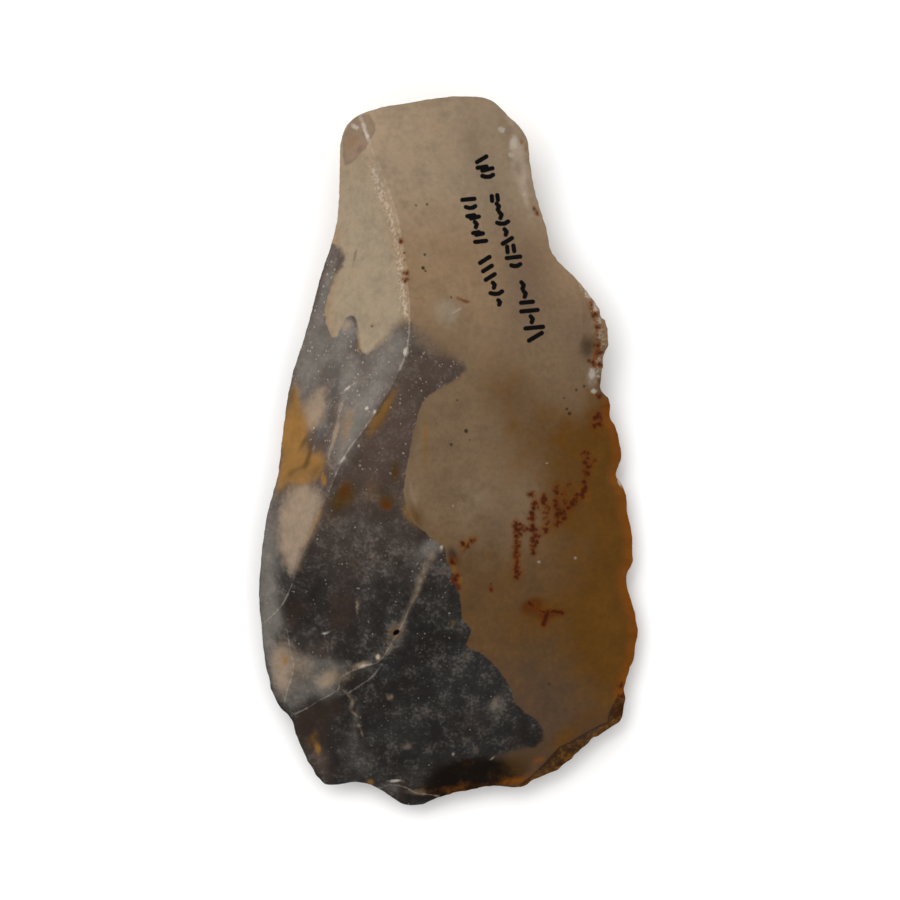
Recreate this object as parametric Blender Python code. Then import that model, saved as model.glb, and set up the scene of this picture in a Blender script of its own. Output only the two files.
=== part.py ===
# Flint side scraper: one flake of worked flint, lying on its flatter face.
#
# +Z is up, +Y runs along the length towards the narrow butt, +X points to the working edge.
# The origin is on the ground under the middle of the stone. All sizes below are millimetres.
#
# The stone is two sheets that share one sharp outline. Each sheet is a film stretched over the
# outline and over the ridges between the flake scars, and it sags a little where a scar is hollow.
# The ridges are real edges of the mesh, so every scar meets the next one in a true arris.

import math

import bpy
import numpy as np
from mathutils import Vector, kdtree
from mathutils.geometry import delaunay_2d_cdt

MM = 0.001

# The stone's overall size. The lines below are drawn at this size, and the finished stone is
# brought to it exactly.
WIDTH = 51.6
LENGTH = 96.0
THICKNESS = 15.0

# How finely the sheets are cut into triangles.
LINE_STEP = 0.95
UPPER_STEP = 1.5
UNDER_STEP = 2.1
CLEAR_OF_LINES = 0.62
SHARP_ANGLE = math.radians(24.0)

# The outline, clockwise from the butt's left corner: x, y and the height of the edge there.
BUTT = [
    (-12.0, 45.4, 7.6), (-9.5, 46.3, 7.9), (-6.0, 46.9, 8.1), (0.5, 47.85, 7.9),
    (5.6, 47.5, 7.2), (8.0, 45.4, 6.4), (10.0, 43.4, 5.6),
]
SHOULDER = [
    (10.7, 41.8, 5.0), (11.1, 39.0, 4.3), (11.7, 35.5, 3.9), (13.1, 31.0, 3.6),
    (14.2, 26.9, 3.5), (17.4, 23.5, 3.6), (20.5, 19.5, 3.7),
]
NOTCH_RIM = [(21.5, 17.4, 3.6), (21.8, 14.8, 3.5), (21.0, 11.6, 3.4), (20.9, 8.8, 3.0)]
WORKING_EDGE = [
    (22.05, 6.5, 2.4), (22.1, 4.7, 2.2), (23.0, 3.0, 2.0), (23.6, 0.1, 1.9), (23.0, -3.1, 1.9),
    (23.9, -4.6, 1.8), (24.45, -8.1, 1.8), (25.0, -10.4, 1.7), (25.2, -13.3, 1.7),
    (25.0, -15.5, 1.7), (24.4, -16.4, 1.8), (24.3, -17.9, 1.8), (25.1, -20.3, 1.7),
    (25.8, -23.6, 1.7), (25.55, -26.9, 1.7), (24.65, -29.6, 1.8), (23.9, -32.3, 1.8),
    (24.1, -33.9, 1.8), (23.9, -35.9, 1.8),
]
BROAD_END = [
    (22.1, -37.8, 1.9), (20.0, -39.0, 1.9), (17.8, -40.7, 2.0), (16.6, -42.0, 2.0),
    (14.4, -43.5, 2.0), (12.4, -44.3, 2.0), (10.3, -45.5, 2.0), (6.0, -45.4, 1.9),
    (2.0, -46.1, 1.9), (-1.5, -47.0, 1.8), (-3.4, -47.9, 1.7), (-5.9, -48.0, 1.7),
    (-7.7, -47.0, 1.8), (-9.4, -45.8, 1.9), (-12.4, -44.9, 2.0), (-17.0, -45.0, 2.1),
]
BACK = [
    (-18.7, -43.0, 2.2), (-20.1, -40.2, 2.2), (-21.0, -38.0, 2.3), (-21.6, -36.1, 2.4),
    (-23.5, -34.0, 2.5), (-24.6, -30.4, 2.6), (-25.4, -24.5, 2.7), (-25.8, -20.0, 2.8), (-25.6, -15.5, 2.9),
    (-24.8, -9.0, 3.0), (-23.2, -2.7, 3.0), (-22.45, 3.5, 3.1), (-21.4, 10.0, 3.2),
    (-19.2, 17.0, 3.4), (-17.4, 23.8, 3.7), (-15.9, 28.4, 4.0), (-15.0, 32.4, 4.3),
    (-14.7, 38.4, 5.0), (-14.5, 42.0, 6.0), (-13.7, 44.1, 7.0),
]

# The spine of the upper face, from the butt's corner to the back: x, y and height.
# Its two ends lie on the outline.
SPINE = [
    (-12.0, 45.4, 7.6), (-10.1, 40.3, 10.1), (-7.6, 33.9, 11.8), (-6.05, 27.8, 13.1),
    (-5.4, 22.3, 14.1), (-5.2, 16.9, 14.8), (-5.75, 12.9, 15.0), (-7.65, 8.8, 14.9),
    (-10.6, 4.1, 14.3), (-14.0, -0.7, 13.2), (-16.7, -6.8, 11.4), (-20.1, -14.9, 8.7),
    (-22.4, -20.3, 6.3), (-25.4, -23.4, 2.7),
]

# The lesser ridges of the upper face: x, y and how far each point stands above the film that
# the spine and the outline give. A rise of 0 is where a ridge dies out or meets another line.
LESSER_RIDGES = {
    "blue_scar": [
        (-13.0, 9.1, 0.0), (-14.1, 6.8, 0.45), (-15.0, 4.1, 0.75), (-15.7, 1.35, 1.0),
        (-16.1, -0.9, 1.0), (-16.9, -3.6, 0.7), (-17.2, -5.6, 0.4), (-17.2, -8.0, 0.0),
    ],
    "pale_scar": [(-16.9, -3.6, 0.7), (-18.2, -4.2, 0.7), (-20.6, -4.4, 0.6), (-23.7, -5.2, 0.0)],
    "vein": [
        (-3.2, -10.7, 0.0), (-3.2, -14.2, 0.5), (-4.2, -18.8, 1.0), (-5.2, -20.5, 1.15),
        (-6.0, -22.5, 1.3), (-7.9, -25.9, 1.5), (-9.4, -28.0, 1.6), (-12.0, -28.9, 1.6),
        (-14.6, -30.4, 1.6), (-14.9, -31.9, 1.5), (-17.4, -33.4, 1.35), (-19.4, -34.7, 0.9),
        (-21.5, -35.8, 0.0),
    ],
    "back_strip": [
        (-22.4, -20.3, 0.0), (-21.9, -24.0, 0.8), (-21.55, -26.7, 1.15), (-21.1, -28.4, 1.3),
        (-21.2, -30.0, 1.25), (-21.8, -31.7, 0.9), (-22.6, -34.5, 0.0),
    ],
    "butt_corner": [(-10.4, 40.9, 0.0), (-12.4, 39.8, 0.45), (-14.7, 38.8, 0.0)],
    "butt_chamfer": [
        (6.2, 47.3, 0.0), (7.9, 43.8, -0.35), (9.0, 40.5, -0.5), (10.0, 37.5, -0.35),
        (11.8, 35.1, 0.0),
    ],
    "notch": [
        (16.4, 24.2, 0.0), (17.2, 22.0, 0.55), (18.1, 19.6, 0.9), (18.1, 17.0, 1.1),
        (17.9, 14.5, 1.2), (18.6, 11.5, 1.0), (19.2, 9.0, 0.6), (20.9, 8.4, 0.0),
    ],
    "end_bevel": [
        (24.1, -32.6, 0.0), (22.9, -33.4, 0.6), (21.9, -35.2, 1.0), (21.6, -36.6, 1.05),
        (18.3, -38.2, 1.15), (16.5, -39.3, 1.15), (15.1, -39.9, 1.1), (13.1, -42.1, 0.95),
        (11.0, -44.2, 0.6), (9.6, -45.3, 0.0),
    ],
    "tip_step": [
        (-9.6, -45.7, 0.0), (-7.9, -45.2, 0.6), (-6.2, -45.4, 0.8), (-4.4, -46.3, 0.8),
        (-2.9, -46.5, 0.6), (-1.2, -46.9, 0.0),
    ],
    "cross_ridge": [
        (-13.9, -32.7, 0.0), (-12.2, -31.5, 0.3), (-10.4, -30.2, 0.4), (-9.0, -28.4, 0.0),
    ],
    "hinge": [
        (-13.7, -33.0, 0.0), (-13.2, -34.3, 0.3), (-12.4, -36.2, 0.38), (-11.7, -37.6, 0.32),
        (-11.3, -39.6, 0.0),
    ],
}

# Where the upper film swells or sags between its lines: middle x, y, half width, half length, lean
# in degrees from +Y, and strength. Strength below 0 swells the film, as along the worn soft crest,
# and strength above 0 hollows it, as in a flake scar.
SWELLS = [
    (-4.5, -1.0, 4.5, 13.0, 3.0, -0.069),
    (-6.5, -21.0, 5.0, 12.0, 20.0, -0.085),
    (9.0, -12.0, 9.0, 16.0, 0.0, -0.012),
    (3.0, 28.0, 7.0, 18.0, -14.0, -0.018),
    (0.0, -34.0, 10.0, 7.0, 0.0, -0.038),
    (16.0, -28.0, 7.0, 10.0, 0.0, -0.010),
    (-14.0, -36.0, 6.0, 6.0, 0.0, -0.030),
]
HOLLOWS = [
    (-13.5, -14.0, 4.5, 9.0, 25.0, 0.045),
    (-12.5, 24.0, 4.5, 16.0, -14.0, 0.010),
    (-13.0, 4.0, 2.2, 6.0, 26.0, 0.050),
    (-19.0, 4.0, 2.5, 7.0, 8.0, 0.020),
    (-20.5, -11.0, 2.0, 5.0, 20.0, 0.040),
    (-18.2, -27.5, 2.8, 4.0, 30.0, 0.060),
    (-17.0, -38.5, 3.4, 3.4, 20.0, 0.050),
    (-23.2, -28.5, 1.0, 3.6, -4.0, 0.080),
]

# Retouch along the working edge: small scoops side by side, each ending in a curved step.
RETOUCH_PITCH = 3.6
RETOUCH_LEAST = 0.75
RETOUCH_REACH = 0.95
RETOUCH_RISE = 0.42

# The under face: the line where it meets the butt's steep striking platform, the bulb that the
# blow left below the platform, and how the face swells down to the flat spot the stone lies on.
PLATFORM_LINE = [
    (-13.7, 44.1, 7.0), (-12.2, 43.4, 4.2), (-9.0, 44.4, 2.6), (-5.0, 45.2, 2.2),
    (0.5, 45.9, 2.1), (4.8, 45.4, 2.4), (7.6, 43.6, 3.2), (10.0, 43.4, 5.6),
]
BULB = [(-1.5, 35.5, 5.5, 7.0, 0.0, 0.16)]
UNDER_SWELL = 0.011
UNDER_SOFTNESS = 0.9


def smooth_line(knots, step, closed=False):
    """Points about step apart on a centripetal Catmull-Rom curve through the knots."""
    knots = np.array(knots, float)
    if closed:
        padded = np.vstack([knots[-1:], knots, knots[:2]])
    else:
        padded = np.vstack([2 * knots[0] - knots[1], knots, 2 * knots[-1] - knots[-2]])
    points = []
    for before, start, end, after in zip(padded, padded[1:], padded[2:], padded[3:]):
        points.extend(curve_span(before, start, end, after, step))
    if not closed:
        points.append(knots[-1])
    return np.array(points)


def curve_span(before, start, end, after, step):
    """The points of one span, from start up to but not including end."""
    legs = ((before, start), (start, end), (end, after))
    gap_in, gap, gap_out = (math.sqrt(np.linalg.norm((b - a)[:2])) for a, b in legs)
    leave = (start - before) / gap_in - (end - before) / (gap_in + gap) + (end - start) / gap
    arrive = (end - start) / gap - (after - start) / (gap + gap_out) + (after - end) / gap_out
    count = max(1, round(gap * gap / step))
    t = (np.arange(count) / count)[:, None]
    return (
        start * (2 * t**3 - 3 * t**2 + 1)
        + end * (3 * t**2 - 2 * t**3)
        + leave * gap * (t**3 - 2 * t**2 + t)
        + arrive * gap * (t**3 - t**2)
    )


def nearest(points, target):
    return points[np.argmin(np.linalg.norm(points[:, :2] - target[:2], axis=1))]


def snap_ends(line, targets, reach):
    """Moves an end that lies within reach of a target point exactly onto it."""
    for end in (0, -1):
        target = nearest(targets, line[end])
        if np.linalg.norm(target[:2] - line[end, :2]) < reach:
            line[end, :2] = target[:2]
    return line


def clear_of(points, others, distance):
    """The points that lie further than distance from all the others."""
    tree = kdtree.KDTree(len(others))
    for index, other in enumerate(others):
        tree.insert((other[0], other[1], 0.0), index)
    tree.balance()
    return np.array([point for point in points if tree.find((*point[:2], 0.0))[2] > distance])


def inside(points, loop):
    """True for each point that the closed loop goes round."""
    crossings = np.zeros(len(points), int)
    for (x0, y0), (x1, y1) in zip(loop[:, :2], np.roll(loop[:, :2], -1, axis=0)):
        spans = (y0 > points[:, 1]) != (y1 > points[:, 1])
        x_there = x0 + (points[:, 1] - y0) / (y1 - y0 if y1 != y0 else 1.0) * (x1 - x0)
        crossings += spans & (points[:, 0] < x_there)
    return crossings % 2 == 1


def fill_points(outline, lines, step):
    """A grid of equilateral triangles inside the outline, kept clear of every line."""
    low = outline[:, :2].min(axis=0)
    high = outline[:, :2].max(axis=0)
    row_gap = step * math.sqrt(3) / 2
    rows = [
        (low[0] + step * (column + 0.5 * (row % 2)), low[1] + row * row_gap)
        for row in range(int((high[1] - low[1]) / row_gap) + 1)
        for column in range(int((high[0] - low[0]) / step) + 1)
    ]
    grid = np.array(rows)
    grid = grid[inside(grid, outline)]
    held = np.vstack([outline[:, :2]] + [line[:, :2] for line in lines])
    return clear_of(grid, held, CLEAR_OF_LINES * step)


def cut_plan(outline, lines, step):
    """Triangulates the plan with the outline and every line as edges. The outline comes first."""
    grid = fill_points(outline, lines, step)
    points = [Vector(point[:2]) for point in outline]
    edges = [(i, (i + 1) % len(outline)) for i in range(len(outline))]
    for line in lines:
        start = len(points)
        points += [Vector(point[:2]) for point in line]
        edges += [(start + i, start + i + 1) for i in range(len(line) - 1)]
    points += [Vector(point) for point in grid]
    found = delaunay_2d_cdt(points, edges, [], 0, 1e-5, True)
    plan = np.array([tuple(point) for point in found[0]])
    triangles = np.array(found[2])
    return plan, triangles[inside(plan[triangles].mean(axis=1), outline)], found[3]


def stretch_film(plan, triangles, held, sag):
    """Heights of a film held where held is a number. Elsewhere it sags by sag (conjugate gradients)."""
    a, b, c = triangles.T
    corners = ((a, b, c), (b, c, a), (c, a, b))
    first = np.concatenate([j for _, j, _ in corners])
    second = np.concatenate([k for _, _, k in corners])
    pull = np.concatenate([corner_pull(plan, *corner) for corner in corners])
    area = twice_area(plan, a, b, c) / 2
    size = len(plan)
    share = sum(np.bincount(corner, area, size) for corner in (a, b, c)) / 3
    free = np.isnan(held)
    stiffness = np.bincount(first, pull, size) + np.bincount(second, pull, size)

    def tension(height):
        flow = pull * (height[first] - height[second])
        return np.bincount(first, flow, size) - np.bincount(second, flow, size)

    height = np.where(free, np.nanmean(held), held)
    left = np.where(free, -sag * share - tension(height), 0.0)
    scaled = left / stiffness
    way = scaled
    energy = left @ scaled
    while np.abs(left).max() > 1e-7:
        pushed = np.where(free, tension(way), 0.0)
        stride = energy / (way @ pushed)
        height = height + stride * way
        left = left - stride * pushed
        scaled = left / stiffness
        energy, before = left @ scaled, energy
        way = scaled + way * energy / before
    return height


def twice_area(plan, a, b, c):
    to_b = plan[b] - plan[a]
    to_c = plan[c] - plan[a]
    return np.abs(to_b[:, 0] * to_c[:, 1] - to_b[:, 1] * to_c[:, 0])


def corner_pull(plan, a, b, c):
    """Half the cotangent of each triangle's corner a, which is the stiffness it gives edge b-c."""
    dot = ((plan[b] - plan[a]) * (plan[c] - plan[a])).sum(axis=1)
    return 0.5 * dot / twice_area(plan, a, b, c)


def held_heights(sources, stacked, known):
    """The known height of each plan point, or nan, from the input points it came from."""
    held = np.full(len(sources), np.nan)
    for index, came_from in enumerate(sources):
        values = [stacked[i] for i in came_from if i < len(stacked) and known[i]]
        if values:
            held[index] = values[0]
    return held


def patch_sag(plan, patches):
    """How strongly the film sags at each plan point: a soft oval for each of the patches."""
    sag = np.zeros(len(plan))
    for x, y, half_width, half_length, lean, strength in patches:
        turn = math.radians(lean)
        along = (plan - (x, y)) @ (math.sin(turn), math.cos(turn))
        across = (plan - (x, y)) @ (math.cos(turn), -math.sin(turn))
        sag += strength * np.exp(-(along / half_length) ** 2 - (across / half_width) ** 2)
    return sag


def retouch_line(outline):
    """The inner ends of the retouch scoops: arcs that stand side by side along the working edge."""
    first = nearest_index(outline, WORKING_EDGE[0])
    last = nearest_index(outline, WORKING_EDGE[-3])
    rim = outline[first : last + 1]
    heading = np.gradient(rim[:, :2], axis=0)
    inward = np.column_stack([heading[:, 1], -heading[:, 0]])
    inward /= np.linalg.norm(inward, axis=1)[:, None]
    walked = np.append(0.0, np.cumsum(np.linalg.norm(np.diff(rim[:, :2], axis=0), axis=1)))
    reach = RETOUCH_LEAST + RETOUCH_REACH * np.abs(np.sin(math.pi * walked / RETOUCH_PITCH))
    line = np.column_stack([rim[:, :2] + inward * reach[:, None], np.full(len(rim), RETOUCH_RISE)])
    line[0] = (*rim[0, :2], 0.0)
    line[-1] = (*rim[-1, :2], 0.0)
    return line


def nearest_index(points, target):
    return int(np.argmin(np.linalg.norm(points[:, :2] - np.array(target[:2]), axis=1)))


def upper_sheet(outline):
    """Plan points, heights and triangles of the upper face, with its ridges."""
    spine = snap_ends(smooth_line(SPINE, LINE_STEP), outline, 2 * LINE_STEP)
    lesser = []
    for knots in LESSER_RIDGES.values():
        targets = np.vstack([outline, spine] + lesser)
        lesser.append(snap_ends(smooth_line(knots, LINE_STEP), targets, 0.7 * LINE_STEP))
    lesser.append(retouch_line(outline))
    lines = [spine] + lesser
    plan, triangles, sources = cut_plan(outline, lines, UPPER_STEP)
    stacked = np.concatenate([outline[:, 2]] + [line[:, 2] for line in lines])
    main_count = len(outline) + len(spine)
    is_main = np.arange(len(stacked)) < main_count
    held = held_heights(sources, stacked, is_main)
    sag = patch_sag(plan, SWELLS + HOLLOWS)
    film = stretch_film(plan, triangles, held, sag)
    rise = held_heights(sources, stacked, ~is_main)
    raised = np.where(np.isnan(held) & ~np.isnan(rise), film + rise, held)
    return plan, stretch_film(plan, triangles, raised, sag), triangles


def under_sheet(outline):
    """Plan points, heights and triangles of the under face, flat where the stone lies on it."""
    platform = snap_ends(smooth_line(PLATFORM_LINE, LINE_STEP), outline, 2 * LINE_STEP)
    plan, triangles, sources = cut_plan(outline, [platform], UNDER_STEP)
    stacked = np.concatenate([outline[:, 2], platform[:, 2]])
    held = held_heights(sources, stacked, np.ones(len(stacked), bool))
    film = stretch_film(plan, triangles, held, UNDER_SWELL + patch_sag(plan, BULB))
    swell = np.maximum(film, 0.0)
    height = np.where(np.isnan(held), swell * swell / (swell + UNDER_SOFTNESS), film)
    return plan, height, triangles


def to_size(points):
    """Brings the stone to its overall size, with its middle over the origin and its foot at 0."""
    low = points.min(axis=0)
    span = points.max(axis=0) - low
    foot = low + span * (0.5, 0.5, 0.0)
    return (points - foot) * (WIDTH, LENGTH, THICKNESS) / span


def stone_mesh():
    """The closed mesh of the stone: the upper sheet, and the under sheet turned to face down."""
    knots = BUTT + SHOULDER + NOTCH_RIM + WORKING_EDGE + BROAD_END + BACK
    outline = smooth_line(knots, LINE_STEP, closed=True)
    rim = len(outline)
    upper_plan, upper_height, upper_faces = upper_sheet(outline)
    under_plan, under_height, under_faces = under_sheet(outline)
    points = np.vstack([
        np.column_stack([upper_plan, upper_height]),
        np.column_stack([under_plan, under_height])[rim:],
    ])
    under_index = np.arange(len(under_plan)) + len(upper_plan) - rim
    under_index[:rim] = np.arange(rim)
    faces = np.vstack([upper_faces, under_index[under_faces][:, ::-1]])
    mesh = bpy.data.meshes.new("flint_scraper")
    mesh.from_pydata((to_size(points) * MM).tolist(), [], faces.tolist())
    mesh.shade_smooth()
    mesh.set_sharp_from_angle(angle=SHARP_ANGLE)
    return mesh


def flint_material():
    """Patinated flint: a warm grey-brown stone with a dull, slightly waxy surface."""
    material = bpy.data.materials.new("patinated_flint")
    material.use_nodes = True
    shader = material.node_tree.nodes["Principled BSDF"]
    shader.inputs["Base Color"].default_value = (0.22, 0.155, 0.085, 1.0)
    shader.inputs["Roughness"].default_value = 0.48
    shader.inputs["Metallic"].default_value = 0.0
    return material


def clear_scene():
    for old in list(bpy.data.objects):
        bpy.data.objects.remove(old)


def main():
    clear_scene()
    mesh = stone_mesh()
    mesh.materials.append(flint_material())
    stone = bpy.data.objects.new("flint_scraper", mesh)
    bpy.context.scene.collection.objects.link(stone)


main()
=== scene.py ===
import math
import random

import bpy
import numpy as np
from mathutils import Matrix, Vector, kdtree, noise
from mathutils.geometry import delaunay_2d_cdt


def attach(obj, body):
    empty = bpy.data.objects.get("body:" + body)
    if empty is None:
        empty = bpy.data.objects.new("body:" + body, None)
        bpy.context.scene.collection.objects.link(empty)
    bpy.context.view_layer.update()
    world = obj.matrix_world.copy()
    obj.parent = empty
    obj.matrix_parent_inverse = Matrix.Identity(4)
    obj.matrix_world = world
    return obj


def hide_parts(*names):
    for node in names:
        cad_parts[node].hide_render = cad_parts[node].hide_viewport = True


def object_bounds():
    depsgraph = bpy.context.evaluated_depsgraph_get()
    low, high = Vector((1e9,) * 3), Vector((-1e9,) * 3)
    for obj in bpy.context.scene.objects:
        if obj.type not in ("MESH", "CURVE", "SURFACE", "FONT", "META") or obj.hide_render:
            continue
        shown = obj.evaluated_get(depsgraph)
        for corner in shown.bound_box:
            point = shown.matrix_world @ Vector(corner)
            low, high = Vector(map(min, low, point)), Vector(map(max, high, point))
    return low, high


# The looks of a flint side scraper. One stone, drawn again far more finely than its solid.
# All plan positions are millimetres: x towards the working edge, y towards the butt, z up.

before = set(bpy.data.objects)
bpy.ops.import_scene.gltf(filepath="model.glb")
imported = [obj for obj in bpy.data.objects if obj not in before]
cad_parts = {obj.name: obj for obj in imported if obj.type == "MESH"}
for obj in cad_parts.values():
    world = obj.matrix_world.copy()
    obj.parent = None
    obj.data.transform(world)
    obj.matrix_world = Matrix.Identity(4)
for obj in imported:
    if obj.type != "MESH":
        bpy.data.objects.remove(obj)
cadLow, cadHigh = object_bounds()
mm = 0.001
print("frame loaded")


# ---- the stone's lines, the same ones that its solid is built on

stone = {
    "lineStep": 0.28,       # gap between points along the outline and the ridges
    "upperStep": 0.33,      # triangle side on the broad scars
    "detailStep": 0.16,     # triangle side round marks and worked edges
    "underStep": 0.62,
    "clearOfLines": 0.62,   # share of a step kept free beside a line
    "sharpAngle": 24,       # degrees; a fold sharper than this is drawn as a hard arris
    "spineSnap": 1.9,       # how far the end of a line may move to meet another line
    "ridgeSnap": 0.66,
    "retouchPitch": 3.6,    # the scoops along the working edge
    "retouchWander": 0.28,  # how unevenly they are spaced, as a share of the pitch
    "retouchLeast": 0.75,
    "retouchReach": 0.95,
    "retouchRise": 0.42,
    "scoopDepth": 0.24,
    "nick": 0.9,            # how much of a scoop's depth also shows as a nick in the outline
    "scoopHalf": 0.56,      # half length of a scoop, as a share of its stretch of rim
    "scarPitch": (0.55, 1.45),   # how unevenly the small scars along the edges fall, as shares
    "scarReach": (0.6, 1.35),
    "scarDepth": (0.45, 1.3),
    "scarHalf": 0.62,
    "clearOfRim": 0.6,      # share of a line step that a line's points keep from the outline
    "coarseFrom": 0.8,      # mm from a mark at which the broad triangles start
    "fineWithin": 0.68,     # mm from a mark up to which the fine ones go
    "traceStep": 0.5,       # gap between the points that the finer triangles follow
    "stainStep": 0.3,
    "rimOut": 0.1,          # how far the rim stands out before the nicks bite in
    "rimRipples": [(0.045, 0.7, 7.0), (0.05, 2.1, 3.0)],   # ripples: height, size and layer of noise
    "broad": (0.07, 8.0, 1.0),
    "fine": (0.02, 2.6, 2.0),
    "rough": (0.05, 0.8, 3.0),
    "crushed": (0.09, 0.55, 4.0),
    "crushDrop": 0.03,
    "rimFade": 0.45,        # mm in from the rim over which the relief fades in
    "waveHeight": 0.012,
    "waveFrom": (-1.5, 52.0),    # the points that the waves and the rings spread from
    "ringHeight": 0.05,
    "ringFrom": (-1.5, 46.0),
    "ringRough": 0.03,
    "ringRipple": (1.0, 3.0, 5.0),
    "underSwell": 0.011,
    "underSoftness": 0.9,
}
farOutside = -4.0           # what a mask says well away from its marks, in mm

# Outline, clockwise from the butt's left corner: x, y, height of the edge.
buttEdge = [
    (-12, 45.4, 7.6), (-9.5, 46.3, 7.9), (-6, 46.9, 8.1), (0.5, 47.85, 7.9), (5.6, 47.5, 7.2),
    (8, 45.4, 6.4), (10, 43.4, 5.6),
]
shoulderEdge = [
    (10.7, 41.8, 5), (11.1, 39, 4.3), (11.7, 35.5, 3.9), (13.1, 31, 3.6), (14.2, 26.9, 3.5),
    (17.4, 23.5, 3.6), (20.5, 19.5, 3.7),
]
notchEdge = [(21.5, 17.4, 3.6), (21.8, 14.8, 3.5), (21.0, 11.6, 3.4), (20.9, 8.8, 3.0)]
workingEdge = [
    (22.05, 6.5, 2.4), (22.1, 4.7, 2.2), (23, 3, 2), (23.6, 0.1, 1.9), (23, -3.1, 1.9), (23.9, -4.6, 1.8),
    (24.45, -8.1, 1.8), (25, -10.4, 1.7), (25.2, -13.3, 1.7), (25, -15.5, 1.7), (24.4, -16.4, 1.8),
    (24.3, -17.9, 1.8), (25.1, -20.3, 1.7), (25.8, -23.6, 1.7), (25.55, -26.9, 1.7), (24.65, -29.6, 1.8),
    (23.9, -32.3, 1.8), (24.1, -33.9, 1.8), (23.9, -35.9, 1.8),
]
broadEnd = [
    (22.1, -37.8, 1.9), (20, -39, 1.9), (17.8, -40.7, 2), (16.6, -42, 2), (14.4, -43.5, 2),
    (12.4, -44.3, 2), (10.3, -45.5, 2), (6, -45.4, 1.9), (2, -46.1, 1.9), (-1.5, -47, 1.8),
    (-3.4, -47.9, 1.7), (-5.9, -48, 1.7), (-7.7, -47, 1.8), (-9.4, -45.8, 1.9), (-12.4, -44.9, 2),
    (-17, -45, 2.1),
]
backEdge = [
    (-18.7, -43, 2.2), (-20.1, -40.2, 2.2), (-21, -38, 2.3), (-21.6, -36.1, 2.4), (-23.5, -34, 2.5),
    (-24.6, -30.4, 2.6), (-25.4, -24.5, 2.7), (-25.8, -20, 2.8), (-25.6, -15.5, 2.9), (-24.8, -9, 3),
    (-23.2, -2.7, 3), (-22.45, 3.5, 3.1), (-21.4, 10, 3.2), (-19.2, 17, 3.4), (-17.4, 23.8, 3.7),
    (-15.9, 28.4, 4), (-15, 32.4, 4.3), (-14.7, 38.4, 5), (-14.5, 42, 6), (-13.7, 44.1, 7),
]

# The spine of the upper face, from the butt's corner to the back.
spineLine = [
    (-12, 45.4, 7.6), (-10.1, 40.3, 10.1), (-7.6, 33.9, 11.8), (-6.05, 27.8, 13.1), (-5.4, 22.3, 14.1),
    (-5.2, 16.9, 14.8), (-5.75, 12.9, 15), (-7.65, 8.8, 14.9), (-10.6, 4.1, 14.3), (-14, -0.7, 13.2),
    (-16.7, -6.8, 11.4), (-20.1, -14.9, 8.7), (-22.4, -20.3, 6.3), (-25.4, -23.4, 2.7),
]

# Lesser ridges: x, y and how far each point stands above the film of spine and outline.
lesserRidges = {
    "blueScar": [
        (-13, 9.1, 0), (-14.1, 6.8, 0.45), (-15, 4.1, 0.75), (-15.7, 1.35, 1), (-16.1, -0.9, 1),
        (-16.9, -3.6, 0.7), (-17.2, -5.6, 0.4), (-17.2, -8, 0),
    ],
    "paleScar": [(-16.9, -3.6, 0.7), (-18.2, -4.2, 0.7), (-20.6, -4.4, 0.6), (-23.7, -5.2, 0.0)],
    "vein": [
        (-3.2, -10.7, 0), (-3.2, -14.2, 0.5), (-4.2, -18.8, 1), (-5.2, -20.5, 1.15), (-6, -22.5, 1.3),
        (-7.9, -25.9, 1.5), (-9.4, -28, 1.6), (-12, -28.9, 1.6), (-14.6, -30.4, 1.6), (-14.9, -31.9, 1.5),
        (-17.4, -33.4, 1.35), (-19.4, -34.7, 0.9), (-21.5, -35.8, 0),
    ],
    "backStrip": [
        (-22.4, -20.3, 0), (-21.9, -24, 0.8), (-21.55, -26.7, 1.15), (-21.1, -28.4, 1.3),
        (-21.2, -30, 1.25), (-21.8, -31.7, 0.9), (-22.6, -34.5, 0),
    ],
    "buttCorner": [(-10.4, 40.9, 0.0), (-12.4, 39.8, 0.45), (-14.7, 38.8, 0.0)],
    "buttChamfer": [
        (6.2, 47.3, 0), (7.9, 43.8, -0.35), (9, 40.5, -0.5), (10, 37.5, -0.35), (11.8, 35.1, 0),
    ],
    "notch": [
        (16.4, 24.2, 0), (17.2, 22, 0.55), (18.1, 19.6, 0.9), (18.1, 17, 1.1), (17.9, 14.5, 1.2),
        (18.6, 11.5, 1), (19.2, 9, 0.6), (20.9, 8.4, 0),
    ],
    "endBevel": [
        (24.1, -32.6, 0), (22.9, -33.4, 0.6), (21.9, -35.2, 1), (21.6, -36.6, 1.05), (18.3, -38.2, 1.15),
        (16.5, -39.3, 1.15), (15.1, -39.9, 1.1), (13.1, -42.1, 0.95), (11, -44.2, 0.6), (9.6, -45.3, 0),
    ],
    "tipStep": [
        (-9.6, -45.7, 0), (-7.9, -45.2, 0.6), (-6.2, -45.4, 0.8), (-4.4, -46.3, 0.8), (-2.9, -46.5, 0.6),
        (-1.2, -46.9, 0),
    ],
    "crossRidge": [(-13.9, -32.7, 0.0), (-12.2, -31.5, 0.3), (-10.4, -30.2, 0.4), (-9.0, -28.4, 0.0)],
    "hinge": [
        (-13.7, -33, 0), (-13.2, -34.3, 0.3), (-12.4, -36.2, 0.38), (-11.7, -37.6, 0.32),
        (-11.3, -39.6, 0),
    ],
}

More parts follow.
